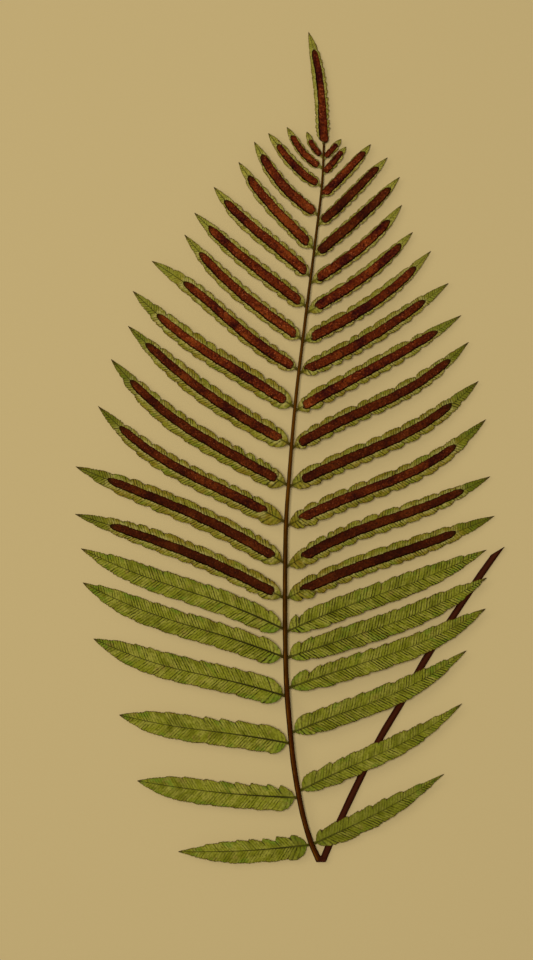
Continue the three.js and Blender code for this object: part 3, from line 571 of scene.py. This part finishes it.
# The leaflets
def blade_face(leaf, s, halves, shares, margin):
    """One face of a blade: rows of points along its veins, with what the material needs."""
    shares = np.array(shares)
    q = np.concatenate([-shares[::-1], [0], shares])[None, :]
    above = q > 0

    def sided(upper, lower):
        """Each row's values for the points above its midrib and for those below it."""
        return np.where(above, upper[:, None], lower[:, None])

    v = q * sided(halves[1], halves[-1])
    lean = sided(leaf.lean(s, 1), leaf.lean(s, -1))
    t = np.minimum(s[:, None] + lean * np.abs(v) / leaf.length, 1)
    flat = np.stack([t * leaf.length, v], axis=-1).reshape(-1, 1, 2).astype(np.float32)
    rim = np.concatenate([
        np.sqrt(((part - margin[None]) ** 2).sum(-1).min(1)) for part in np.array_split(flat, RIM_PARTS)
    ]).reshape(t.shape)
    far = s * leaf.length
    turn = math.tau * far[:, None] / RIPPLE_LENGTH + leaf.phase * RIPPLE_TURN + above * RIPPLE_SHIFT
    ends = smooth(t * RIPPLE_FADES[0]) * smooth((1 - t) * RIPPLE_FADES[1])
    ripple = RIPPLE * np.sin(turn) * q**2 * ends * min(1, leaf.width / FULL_LOBE_WIDTH)
    veins = sided(far / leaf.pitch[1], far / leaf.pitch[-1] + LOWER_VEIN_SHIFT)
    lines = zip(*(leaf.cut_lines(s, edge, halves[edge]) for edge in EDGES))
    off, deep = (sided(*pair) for pair in lines)
    values = {
        "blade": vectors(veins, v, t),
        "leaf": vectors(rim, leaf.tone, leaf.beside(t, v)),
        "cut": vectors(off, deep, np.abs(q)),
    }
    return q, v, t, veins, ripple, values


def make_leaflet(leaf, material):
    count = int(leaf.length * (1 - leaf.inside) / ROW_STEP)
    s = np.linspace(leaf.inside, 1 - TIP_GAP / leaf.length, count)
    halves = {edge: np.maximum(leaf.reach(s, edge), LEAST_REACH) for edge in EDGES}
    margin = []
    for edge, half in halves.items():
        places = s * leaf.length + leaf.lean(s, edge) * half
        margin.append(np.stack([places, edge * half], axis=-1)[s > leaf.blade_start])
    margin.append([[leaf.length, 0]])
    margin = np.concatenate(margin).astype(np.float32)

    q, v, t, turns, ripple, top_values = blade_face(leaf, s, halves, TOP_COLUMNS, margin)
    x, y, z = leaf.surface(t, v)
    thickness = lerp(MIDDLE_THICKNESS, EDGE_THICKNESS, np.abs(q) ** THICKNESS_CURVE)
    ridge = RIDGE_HEIGHT * (1 - RIDGE_LOSS * t) * np.exp(-((v / RIDGE_WIDTH) ** 2))
    started = smooth((t - leaf.blade_start) * leaf.length / DETAIL_FADE)
    inside = smooth((1 - np.abs(q)) * DETAIL_FADE) * started * smooth(np.abs(v) / VEIN_RISE)
    veins = VEIN_RELIEF * np.cos(math.tau * turns) * inside
    top = vectors(x, y, z - SLAB + thickness + ridge + veins + ripple)
    upper = numbered(*v.shape)

    q, v, t, _, ripple, low_values = blade_face(leaf, s, halves, BOTTOM_COLUMNS, margin)
    x, y, z = leaf.surface(t, v)
    started = smooth((t - leaf.blade_start) * leaf.length / DETAIL_FADE)
    bottom = vectors(x, y, z - SLAB + ripple + GROOVE * (q == 0) * started * (1 - t))
    lower = numbered(*v.shape, upper.size)

    flip = leaf.side > 0
    faces = grid_faces(upper, flip) + grid_faces(lower, not flip)
    faces += grid_faces(np.stack([upper[:, 0], lower[:, 0]]), flip)
    faces += grid_faces(np.stack([upper[:, -1], lower[:, -1]]), not flip)
    for row, turned in ((0, not flip), (-1, flip)):
        loop = np.concatenate([upper[row], lower[row, ::-1]]).tolist()
        faces.append(loop[::-1] if turned else loop)
    values = {name: np.concatenate([top_values[name], low_values[name]]) for name in top_values}
    points = np.concatenate([top, bottom])
    make_object(f"leaflet_{leaf.name}", points, faces, values, material)


def make_sori(leaf, material):
    """The band of sori: two rows grown together, with a slanting root end and a long rounded tip."""
    rng = np.random.default_rng(SORI_SEED + leaf.seed)
    width = leaf.sori_width
    first, last = leaf.sori
    rows = int((last - first) * leaf.length / GRAIN)
    columns = max(LEAST_GRAINS, int(width / GRAIN) | 1)
    u = np.linspace(-1, 1, columns)[None, :]
    r = np.linspace(0, 1, rows)[:, None]
    small = min(1, leaf.length / FULL_END_LENGTH)
    start = first * leaf.length - leaf.slant * u / 2
    end = last * leaf.length + small * (scatter(leaf.seed + SORI_TIP_SEED) - 0.5) * u
    far = start + (end - start) * r
    from_start = np.clip((far - start) / (width * SORI_ROOT_ROUND), 0, 1)
    from_end = np.clip((end - far) / (width * SORI_TIP_ROUND * small), 0, 1)
    rounded = np.sqrt(1 - (1 - from_start) ** 2) * np.sqrt(1 - (1 - from_end) ** 2)
    wobble = np.zeros((rows, 1))
    for k, (pitch, size) in enumerate(SORI_WAVES):
        turn = r * leaf.length / pitch * math.tau
        wobble += size * np.sin(turn + WAVE_SHIFT * scatter(leaf.seed + k * WAVE_SEED))
    share = np.interp(r, SORI_PLACES, SORI_WIDTHS) * lerp(leaf.flare, 1, smooth(r / FLARE_TO))
    v = u * width / 2 * share * lerp(SORI_END_WIDTH, 1, rounded) * (1 + np.sign(u) * wobble)
    t = far / leaf.length
    x, y, z = leaf.surface(t, v)
    groove = SORI_GROOVE * np.exp(-((u / SORI_GROOVE_WIDTH) ** 2))
    hump = smooth((1 - np.abs(u)) / SORI_SHOULDER) ** SHOULDER_CURVE * (1 - groove)
    grains = rng.normal(0, 1, (rows, columns))
    grains = (grains + np.roll(grains, 1, 0) * GRAIN_DRAWN) / GRAIN_SPREAD
    inner = np.clip((1 - np.abs(u)) * GRAIN_FADE, 0, 1) * rounded
    height = SORI_HEIGHT * hump * lerp(SORI_END_HEIGHT, 1, rounded) + GRAIN_LIFT * grains * inner
    jitter = GRAIN_JITTER * rng.normal(0, 1, (2, rows, columns)) * inner
    foot = z - SLAB
    points = vectors(x + jitter[0], y + jitter[1], foot + MIDDLE_THICKNESS - SORI_SUNK + height)
    low = vectors(x, y, foot + SORI_FOOT)

    grid = numbered(rows, columns)
    rim = np.concatenate([grid[0], grid[1:, -1], grid[-1, -2::-1], grid[-2:0:-1, 0]])
    under = grid.size + np.arange(len(rim))
    flip = leaf.side > 0
    faces = grid_faces(grid, flip) + grid_faces(np.stack([rim, under]), not flip, wrap=True)
    faces.append((under if flip else under[::-1]).tolist())
    values = {"band": vectors(far, u, leaf.tone), "ends": vectors(rounded, leaf.dark, 0)}
    values = {name: np.concatenate([value, value[rim]]) for name, value in values.items()}
    points = np.concatenate([points, low[rim]])
    make_object(f"sori_{leaf.name}", points, faces, values, material)


# The stipe, the fold and the rachis
STALK_ROUND = 28
STALK_STEP = 0.9
CURVE_STEPS = 400
UNEVEN = ((0.02, 7, 1), (0.015, 2.3, 2))
WIDE_FLUTES = (0.025, 3, 1.2)
NARROW_FLUTES = (0.018, 7, 60)
RACHIS_SEED = 1
STIPE_SEED = 2
STIPE_SHARE = 0.97
CUT_BEYOND = 0.8
LEAST_SLANT = 0.2
FOLD_LAYERS = 13
FOLD_WAIST = 0.7
FOLD_SIDES = 0.5
FOLD_FLATNESS = 0.6


def stalk_rows(points, widths, seed):
    """Slightly uneven rings of points along a curve, how far along each is, and its direction."""
    fine = np.array([curve_point(points, k / CURVE_STEPS) for k in range(CURVE_STEPS + 1)])
    far = np.concatenate([[0], np.cumsum(np.linalg.norm(np.diff(fine, axis=0), axis=1))])
    count = int(far[-1] / STALK_STEP)
    at = np.linspace(0, far[-1], count)
    middle = np.stack([np.interp(at, far, fine[:, k]) for k in range(3)], axis=-1)
    share = np.interp(at, far, np.linspace(0, 1, CURVE_STEPS + 1))
    width = np.interp(share * (len(points) - 1), range(len(points)), widths)
    along = np.gradient(middle, axis=0)
    along /= np.linalg.norm(along, axis=1)[:, None]
    across = np.stack([along[:, 1], -along[:, 0], 0 * along[:, 0]], axis=-1)
    across /= np.linalg.norm(across, axis=1)[:, None]
    up = np.cross(across, along)
    angle = math.tau * np.arange(STALK_ROUND)[None, :] / STALK_ROUND
    at = at[:, None]
    uneven = 1 + sum(size * np.sin(at / pitch + turn * seed) for size, pitch, turn in UNEVEN)
    size, count, first = WIDE_FLUTES
    flutes = 1 + size * np.cos(count * angle + first)
    size, count, pitch = NARROW_FLUTES
    flutes = flutes + size * np.cos(count * angle + at / pitch)
    radius = width[:, None] / 2 * uneven * flutes
    ring = middle[:, None, :] + across[:, None, :] * (np.cos(angle) * radius)[..., None]
    ring = ring + up[:, None, :] * (np.sin(angle) * radius)[..., None]
    return ring, at, along


def make_stalk(name, ring, far, cut, material, clockwise=True):
    """A closed body of rings, which turn clockwise or not as seen from their end."""
    rows, wide = ring.shape[:2]
    grid = numbered(rows, wide)
    faces = grid_faces(grid, clockwise, wrap=True)
    start, end = grid[[0, -1]].tolist()
    faces += [start, end[::-1]] if clockwise else [start[::-1], end]
    values = {"stalk": vectors(far, np.arange(wide) / wide, cut)}
    make_object(name, ring.reshape(-1, 3), faces, values, material)


def make_rachis(material):
    ring, far, _ = stalk_rows([p[:3] for p in RACHIS], [p[3] for p in RACHIS], RACHIS_SEED)
    make_stalk("rachis", ring, far, 0, material)


def make_stipe(material):
    """The stipe, cut off slanting by an upright plane from its shoulder to its point."""
    points = [(x, y, STIPE_WIDTH / 2) for x, y in STIPE]
    ring, far, along = stalk_rows(points, [STIPE_WIDTH * STIPE_SHARE] * len(points), STIPE_SEED)
    shoulder = np.array(STIPE_SHOULDER)
    cut = np.array(STIPE_POINT) - shoulder
    outward = np.array([-cut[1], cut[0]]) / np.linalg.norm(cut)
    beyond = (ring[..., :2] - shoulder) @ outward
    direction = along[:, None, :2] @ outward
    past = (beyond > 0) & (np.arange(len(ring))[:, None] > len(ring) * CUT_BEYOND)
    back = np.where(past, beyond / np.maximum(direction, LEAST_SLANT), 0)
    ring = ring - along[:, None, :] * back[..., None]
    ring[..., 2] = np.maximum(ring[..., 2], 0)
    make_stalk("stipe", ring, far, past, material)


def make_fold(material):
    """The flattened knuckle where the stipe is folded back, with its straight crease."""
    corners = np.array(FOLD)
    middle = corners.mean(axis=0)
    spread = np.linspace(0, len(FOLD), STALK_ROUND * 2, endpoint=False)
    before = spread.astype(int)
    outline = lerp(corners[before], corners[(before + 1) % len(FOLD)], (spread - before)[:, None])
    turn = np.linspace(0, math.pi, FOLD_LAYERS)[:, None]
    share = lerp(FOLD_WAIST, 1, np.sin(turn) ** FOLD_SIDES)
    rise = np.sign(np.cos(turn)) * np.abs(np.cos(turn)) ** FOLD_FLATNESS
    height = STIPE_WIDTH / 2 * (1 - rise)
    ring = np.empty((len(turn), len(outline), 3))
    ring[..., :2] = middle + (outline - middle)[None] * share[..., None]
    ring[..., 2] = height
    make_stalk("fold", ring, height, 0, material, clockwise=False)


# Materials. A node's socket for a colour has a number, because three sockets share its name.
MIX_A = 6
MIX_B = 7
MIX_RESULT = 2


def linear(colour):
    """Linear values of a colour that is given as it is seen on a screen, from 0 to 255."""
    seen = [c / 255 for c in colour]
    return (*(c / 12.92 if c <= 0.04045 else ((c + 0.055) / 1.055) ** 2.4 for c in seen), 1.0)


class Value:
    """A node's output, which makes the next node when it is used in arithmetic."""

    def __init__(self, nodes, socket):
        self.nodes = nodes
        self.socket = socket

    def __add__(self, other):
        return self.nodes.math("ADD", self, other)

    def __sub__(self, other):
        return self.nodes.math("SUBTRACT", self, other)

    def __rsub__(self, other):
        return self.nodes.math("SUBTRACT", other, self)

    def __mul__(self, other):
        return self.nodes.math("MULTIPLY", self, other)

    def __truediv__(self, other):
        return self.nodes.math("DIVIDE", self, other)

    def __abs__(self):
        return self.nodes.math("ABSOLUTE", self)

    def ramp(self, start, end, low=0, high=1):
        """low where this is below start, high where it is above end, and smooth between them."""
        inputs = {"Value": self, "From Min": start, "From Max": end, "To Min": low, "To Max": high}
        return self.nodes.node("MapRange", inputs, interpolation_type="SMOOTHSTEP")


class Nodes:
    """Short calls for making a material's nodes. colour is what has been painted so far."""

    def __init__(self, name, colour):
        self.material = bpy.data.materials.new(name)
        self.material.use_nodes = True
        self.tree = self.material.node_tree
        self.tree.nodes.clear()
        self.colour = linear(colour)

    def put(self, socket, value):
        if isinstance(value, Value):
            self.tree.links.new(value.socket, socket)
        else:
            socket.default_value = value

    def node(self, kind, inputs, output=0, **settings):
        made = self.tree.nodes.new(f"ShaderNode{kind}")
        for name, value in settings.items():
            setattr(made, name, value)
        for name, value in inputs.items():
            self.put(made.inputs[name], value)
        return Value(self, made.outputs[output])

    def split(self, vector):
        made = self.tree.nodes.new("ShaderNodeSeparateXYZ")
        self.put(made.inputs[0], vector)
        return [Value(self, output) for output in made.outputs]

    def attribute(self, name):
        return self.split(self.node("Attribute", {}, "Vector", attribute_name=name))

    def combine(self, x, y, z=0):
        return self.node("CombineXYZ", {0: x, 1: y, 2: z})

    def math(self, operation, a, b=0):
        return self.node("Math", {0: a, 1: b}, operation=operation)

    def noise(self, where, scale, detail=3, rough=0.6, seed=0):
        inputs = {"Vector": where, "W": seed, "Scale": scale, "Detail": detail, "Roughness": rough}
        return self.node("TexNoise", inputs, noise_dimensions="4D")

    def chance(self, value):
        """A number between 0 and 1 for each whole value."""
        inputs = {"W": self.math("FLOOR", value + 0.5)}
        return self.node("TexWhiteNoise", inputs, noise_dimensions="1D")

    def place(self):
        """The point on the object, in millimetres."""
        inputs = {0: self.node("TexCoord", {}, "Object"), "Scale": 1 / MM}
        return self.node("VectorMath", inputs, operation="SCALE")

    def paint(self, strength, colour):
        """Mixes a colour over what has been painted so far."""
        inputs = {"Factor": strength, MIX_A: self.colour, MIX_B: linear(colour)}
        self.colour = self.node("Mix", inputs, MIX_RESULT, data_type="RGBA")

    def finish(self, rough, specular, *reliefs):
        """The material, with reliefs of a height, a distance in millimetres and a strength each."""
        inputs = {"Base Color": self.colour, "Roughness": rough, "Specular IOR Level": specular}
        for height, distance, strength in reliefs:
            bump = {"Height": height, "Distance": distance * MM, "Strength": strength}
            if "Normal" in inputs:
                bump["Normal"] = inputs["Normal"]
            inputs["Normal"] = self.node("Bump", bump)
        out = self.tree.nodes.new("ShaderNodeOutputMaterial")
        self.put(out.inputs["Surface"], self.node("BsdfPrincipled", inputs))
        return self.material


LEAF_MID = (125, 124, 24)
LEAF_YELLOW = (144, 138, 48)
LEAF_DEEP = (90, 89, 0)
LEAF_FRESH = (86, 114, 18)
LEAF_DUSKY = (76, 78, 4)
LEAF_BROWN = (122, 94, 14)
LEAF_PALE = (174, 160, 88)
LEAF_GREY = (134, 112, 48)
LEAF_TIP = (160, 149, 58)
VEIN_DARK = (32, 27, 0)
MIDRIB_DARK = (22, 18, 0)
MIDRIB_WIDTH = (0.42, 0.24)
MARGIN_DARK = (66, 40, 0)
MARGIN_SPECK = (104, 46, 16)
TIP_BROWN = (66, 48, 16)
NECK_BROWN = (60, 46, 10)
LEAF_GLOSS = 0.08


class Blade:
    """What is known at a point of a blade, in millimetres and in numbers from 0 to 1.

    vein counts the veins, off is how far above the midrib it is, along and out are shares of the way
    to the tip and to the margin, and rim, beside and notch are how far off the margin, the sori and
    the nearest notch's vein are. barren, fertile, right and upper are 1 where they hold.
    """

    def __init__(self, n):
        self.vein, self.off, self.along = n.attribute("blade")
        self.rim, self.tone, self.beside = n.attribute("leaf")
        self.notch, self.deep, self.out = n.attribute("cut")
        self.place = n.place()
        x, self.y, _ = n.split(self.place)
        self.barren = self.beside.ramp(20, 25)
        self.fertile = 1 - self.barren
        self.right = x.ramp(-6, 6)
        self.upper = self.y.ramp(20, 150)


def paint_blade(n, b):
    """Yellow-green in patches drawn out along the veins, greener by the margin, pale by the sori, with
    painted shade on the right-hand leaflets.
    """
    drawn = n.combine(b.vein * 0.42, b.off * 0.16, b.tone * 60)
    n.paint(n.noise(drawn, 1, rough=0.55).ramp(0.42, 0.6), LEAF_YELLOW)
    n.paint(n.noise(drawn, 0.8, detail=4, seed=7).ramp(0.46, 0.66, 0, 0.8), LEAF_DEEP)
    fresh = n.noise(drawn, 0.6, seed=13) + b.rim.ramp(0.4, 3.6, 0.12, 0) + b.along.ramp(0.6, 1, 0, 0.05)
    n.paint(fresh.ramp(0.6, 0.74, 0, 0.6), LEAF_FRESH)
    low_base = b.along.ramp(0.04, 0.13, 1, 0) * b.off.ramp(-1.5, -0.3, 0.6, 0)
    n.paint(low_base * b.barren, LEAF_FRESH)
    grey = n.noise(b.place, 0.2, seed=23) + b.beside.ramp(0.5, 3, 0.05, 0)
    n.paint(grey.ramp(0.58, 0.7, 0, 0.6), LEAF_GREY)
    brown = n.noise(drawn, 0.7, seed=83).ramp(0.38, 0.62, 0.2, 0.75)
    n.paint(brown * b.fertile * b.along.ramp(0.8, 0.9, 1, 0.15), LEAF_BROWN)
    high = n.noise(drawn, 0.9, seed=91).ramp(0.42, 0.62, 0.1, 0.7)
    n.paint(high * b.upper * b.fertile, LEAF_TIP)
    patchy = n.noise(b.place, 0.4, seed=31).ramp(0.4, 0.6, 0.1, 1)
    n.paint(b.beside.ramp(0, 2.2, 0.75, 0) * patchy, LEAF_PALE)
    n.paint(b.along.ramp(0.8, 0.9, 0, 0.6) * b.upper * b.fertile, LEAF_TIP)
    n.paint(b.along.ramp(0.8, 0.92, 0, 0.6) * (b.fertile - b.upper), LEAF_DUSKY)
    # Painted shade: the right-hand leaflets are painted darker, most on their upper halves and on the
    # lowest ones.
    shade = b.off.ramp(-0.6, 0.6, 0, 0.16) + b.y.ramp(-200, -165, 0.3, 0)
    n.paint(b.right * shade, LEAF_DUSKY)
    mottle = n.noise(b.place, 0.9, detail=4, rough=0.75, seed=71)
    n.paint(mottle.ramp(0.38, 0.54, 0.7, 0), LEAF_DEEP)
    n.paint(mottle.ramp(0.54, 0.68, 0, 0.45), LEAF_YELLOW)


def vein_lines(n, b):
    """Thin dark veins, each of its own strength, clearest on the lower halves of barren leaflets."""
    turns = b.vein + (n.noise(b.place, 0.45, detail=2, rough=0.55) - 0.5) * 0.6
    vein = n.math("PINGPONG", turns, 0.5).ramp(0.08, 0.28, 1, 0)
    own = n.chance(turns + b.tone * 500).ramp(0, 0.7, 0.4, 1)
    patch = n.noise(b.place, 0.22, rough=0.55, seed=41).ramp(0.32, 0.54, 0.4, 1)
    broken = n.combine(b.vein * 1.3, b.off * 0.6, b.tone * 90)
    patch = patch * n.noise(broken, 1, detail=2, rough=0.5, seed=43).ramp(0.38, 0.54, 0.45, 1)
    strong = n.math("MAXIMUM", b.right * 0.4, b.along.ramp(0.12, 0.4, 0.3, 0))
    on_barren = b.off.ramp(-0.6, 0.6, 1, 0) * strong + b.y.ramp(-175, -115, 0.6, 0.95)
    side = b.barren * on_barren + b.fertile * b.y.ramp(0, 130, 0.9, 0.6)
    return vein * own * patch * side * b.vein.ramp(1, 5, 0.5, 1)


def paint_lines(n, b):
    """The cuts inward from the notches, the midrib, and a broken outline with specks."""
    inward = (b.out + b.deep * 0.3).ramp(0.98, 1.2)
    n.paint(b.notch.ramp(0.12, 0.5, 0.85, 0) * inward, VEIN_DARK)
    width = b.along.ramp(0, 1, *MIDRIB_WIDTH) + b.barren * b.along.ramp(0.1, 0.4, 0.2, 0)
    midrib = (abs(b.off) / width).ramp(0.5, 1.1, 0.95, 0)
    clear = (b.barren * b.along.ramp(0.1, 0.6, 0.15, 0) + 0.8) * (b.right * -0.35 + 1)
    n.paint(midrib * clear, MIDRIB_DARK)
    shift = (n.noise(b.place, 1.1, rough=0.7, seed=61) - 0.5) * 2
    n.paint((b.rim + shift).ramp(0.1, 0.42, 0.8, 0), MARGIN_DARK)
    speck = n.noise(b.place, 1.4, rough=0.7, seed=53).ramp(0.58, 0.66, 0, 0.85)
    n.paint(speck * b.rim.ramp(0.3, 1.3, 1, 0), MARGIN_SPECK)
    n.paint(b.along.ramp(0.955, 0.995, 0, 0.85), TIP_BROWN)
    n.paint(b.along.ramp(0.012, 0.04, 0.85, 0), NECK_BROWN)


def leaf_material():
    n = Nodes("fern_blade", LEAF_MID)
    b = Blade(n)
    fine = n.noise(b.place, 1.9, detail=4, rough=0.65)
    paint_blade(n, b)
    vein = vein_lines(n, b)
    n.paint(vein, VEIN_DARK)
    paint_lines(n, b)
    rough = (fine + vein * 0.3).ramp(0.2, 0.9, 0.62, 0.82)
    return n.finish(rough, LEAF_GLOSS, (vein, 0.16, 0.8), (fine, 0.12, 0.45))


SORI_RED = (88, 30, 7)
SORI_ORANGE = (122, 54, 15)
SORI_MAROON = (54, 12, 9)
SORI_BROWN = (38, 14, 3)
SORI_SPECK = (180, 92, 48)
SORI_LINE = (16, 6, 1)
SORI_END = (44, 24, 4)
DULL = 0.02


def sori_material():
    """Red, orange and maroon grains, darker towards the band's edges and ends, with painted shade as a
    dark line along its lower edge.
    """
    n = Nodes("fern_sori", SORI_MAROON)
    far, across, tone = n.attribute("band")
    rounded, dark, _ = n.attribute("ends")
    place = n.place()
    broad = n.noise(n.combine(far * 0.065, tone * 40, across * 0.25), 1, rough=0.55)
    grains = n.noise(place, 0.8, detail=4, rough=0.74)
    n.paint(broad.ramp(0.36, 0.5), SORI_RED)
    n.paint(broad.ramp(0.52, 0.64, 0, 0.85), SORI_ORANGE)
    n.paint(n.noise(place, 0.55, detail=2, seed=37).ramp(0.36, 0.5, 0.65, 0), SORI_MAROON)
    n.paint(grains.ramp(0.36, 0.5, 0.75, 0), SORI_LINE)
    n.paint(grains.ramp(0.52, 0.66, 0, 0.7), SORI_ORANGE)
    speck = n.noise(place, 1, rough=0.7, seed=5).ramp(0.57, 0.64, 0, 0.6)
    n.paint(speck * broad.ramp(0.34, 0.52), SORI_SPECK)
    n.paint(dark, SORI_BROWN)
    n.paint(rounded.ramp(0.6, 0.98, 0.6, 0), SORI_END)
    ragged = across + (grains - 0.5) * 0.5
    # Painted shade: a dark line along the band's lower edge.
    n.paint(ragged.ramp(-0.84, -0.58, 0.95, 0), SORI_LINE)
    n.paint(ragged.ramp(0.78, 1, 0, 0.7), SORI_LINE)
    n.paint(rounded.ramp(0.15, 0.8, 0.85, 0), SORI_LINE)
    dome = 1 - n.node("TexVoronoi", {"Vector": place, "Scale": 2.1}, "Distance")
    pits = n.noise(place, 6, rough=0.55)
    return n.finish(grains.ramp(0.3, 0.7, 0.72, 0.92), DULL, (dome, 0.2, 1), (pits, 0.08, 0.5))


RACHIS_DARK = (32, 12, 0)
RACHIS_RED = (64, 26, 0)
RACHIS_OLIVE = (60, 34, 0)
RACHIS_WARM = (82, 46, 0)
RACHIS_UPPER = (62, 36, 0)
RACHIS_LIGHT = (112, 66, 8)
STIPE_DARK = (38, 12, 4)
STIPE_MID = (58, 21, 8)
STIPE_LIGHT = (72, 32, 12)
STIPE_CUT = (56, 28, 10)


class Stalk:
    """What is known at a point of the rachis or the stipe. from_top is in turns round it."""

    def __init__(self, n):
        self.far, around, self.cut = n.attribute("stalk")
        place = n.place()
        self.y = n.split(place)[1]
        self.from_top = around - 0.25
        self.lines = n.noise(n.combine(self.far * 0.07, around * 26), 1, detail=4)
        self.spots = n.noise(place, 0.8, detail=4, rough=0.65)


def paint_rachis(n, s):
    """Brown, with painted shade on its flanks and a narrow painted highlight left of its top."""
    n.paint(s.y.ramp(-150, -105), RACHIS_OLIVE)
    n.paint(s.y.ramp(-62, -18), RACHIS_WARM)
    n.paint(s.y.ramp(26, 90), RACHIS_UPPER)
    n.paint(s.lines.ramp(0.35, 0.65, 0.5, 0), RACHIS_DARK)
    n.paint(s.spots.ramp(0.5, 0.72, 0, 0.25), RACHIS_LIGHT)
    # A narrow painted highlight runs just left of the rachis's top, broken into patches.
    patchy = n.noise(n.combine(s.far * 0.1, 0), 1, rough=0.55).ramp(0.4, 0.65, 0.1, 0.6)
    n.paint(abs(s.from_top - 0.06).ramp(0.02, 0.07, 1, 0) * patchy, RACHIS_LIGHT)
    # Painted shade darkens the rachis's flanks, most towards the frond's base.
    n.paint(abs(s.from_top).ramp(0.09, 0.17) * s.y.ramp(-90, 10, 0.85, 0.35), RACHIS_DARK)


def paint_stipe(n, s):
    """Very dark red-brown, smooth and dull, with a painted highlight along its top."""
    n.paint(s.lines.ramp(0.3, 0.7), STIPE_MID)
    # Painted highlight: the stipe is lighter along its top.
    n.paint(abs(s.from_top).ramp(0.03, 0.14, 0.35, 0), STIPE_LIGHT)
    n.paint(s.spots.ramp(0.5, 0.72, 0, 0.4), STIPE_LIGHT)
    n.paint(s.cut * 0.7, STIPE_CUT)


def stalk_material(name, colour, paint):
    n = Nodes(name, colour)
    s = Stalk(n)
    paint(n, s)
    rough = s.spots.ramp(0.2, 0.8, 0.6, 0.8)
    return n.finish(rough, DULL, (s.lines, 0.25, 0.8), (s.spots, 0.12, 0.5))


FLOOR_LIGHT = (190, 168, 116)
FLOOR_DARK = (178, 156, 105)
FLOOR_SIZE = 2500
FLOOR_DEPTH = 0.05


def floor_material():
    n = Nodes("plain_floor", FLOOR_LIGHT)
    fine = n.noise(n.place(), 1.2, detail=4)
    n.paint(fine.ramp(0.35, 0.65, 0, 0.1), FLOOR_DARK)
    return n.finish(0.9, 0.05, (fine, 0.1, 0.3))


def build_frond():
    blade = leaf_material()
    sori = sori_material()
    rachis = stalk_material("fern_rachis", RACHIS_RED, paint_rachis)
    stipe = stalk_material("fern_stipe", STIPE_DARK, paint_stipe)
    for leaf in all_leaflets():
        make_leaflet(leaf, blade)
        if leaf.sori:
            make_sori(leaf, sori)
    make_rachis(rachis)
    make_stipe(stipe)
    make_fold(stipe)


def build_floor():
    size = FLOOR_SIZE * MM
    corners = [(-size, -size), (size, -size), (size, size), (-size, size)]
    mesh = bpy.data.meshes.new("floor")
    mesh.from_pydata([(x, y, -FLOOR_DEPTH * MM) for x, y in corners], [], [(0, 1, 2, 3)])
    mesh.materials.append(floor_material())
    floor = bpy.data.objects.new("floor", mesh)
    bpy.context.collection.objects.link(floor)


# The lamps: place and size in millimetres, power in watts
LAMPS = {
    "top": dict(place=(-160, 50, 2600), size=500, power=49, colour=(1.0, 0.99, 0.97)),
    "key": dict(place=(-850, 400, 1500), size=1200, power=6, colour=(1.0, 0.98, 0.95)),
}
SKY_COLOUR = (1.0, 0.99, 0.97, 1)
SKY_STRENGTH = 0.14


def add_lamp(name, place, size, power, colour):
    light = bpy.data.lights.new(name, "AREA")
    light.shape = "DISK"
    light.size = size * MM
    light.energy = power
    light.color = colour
    lamp = bpy.data.objects.new(name, light)
    lamp.location = Vector(place) * MM
    lamp.rotation_euler = (-lamp.location).to_track_quat("-Z", "Y").to_euler()
    bpy.context.collection.objects.link(lamp)


def build_light():
    for name, lamp in LAMPS.items():
        add_lamp(name, **lamp)
    world = bpy.data.worlds.new("soft_sky")
    world.use_nodes = True
    background = world.node_tree.nodes["Background"]
    background.inputs["Color"].default_value = SKY_COLOUR
    background.inputs["Strength"].default_value = SKY_STRENGTH
    scene = bpy.context.scene
    scene.world = world
    scene.view_settings.view_transform = "Standard"
    scene.view_settings.look = "None"


# The camera looks straight down. A pixel of the photo is PIXEL millimetres wide at FOCUS_HEIGHT.
PIXEL = 0.55
IMAGE_WIDTH = 533
IMAGE_HEIGHT = 960
MIDDLE_PIXEL = (289.5, 446.75)
LENS = 135
SENSOR = 36
FOCUS_HEIGHT = 6
CLIP = (50, 20000)


def build_camera():
    camera = bpy.data.cameras.new("camera")
    camera.lens = LENS
    camera.sensor_width = SENSOR
    camera.clip_start, camera.clip_end = (away * MM for away in CLIP)
    view = bpy.data.objects.new("camera", camera)
    x = (IMAGE_WIDTH / 2 - MIDDLE_PIXEL[0]) * PIXEL
    y = (MIDDLE_PIXEL[1] - IMAGE_HEIGHT / 2) * PIXEL
    away = IMAGE_HEIGHT * PIXEL * LENS / SENSOR
    view.location = Vector((x, y, away + FOCUS_HEIGHT)) * MM
    bpy.context.collection.objects.link(view)
    bpy.context.scene.camera = view


build_frond()
build_floor()
build_light()
build_camera()
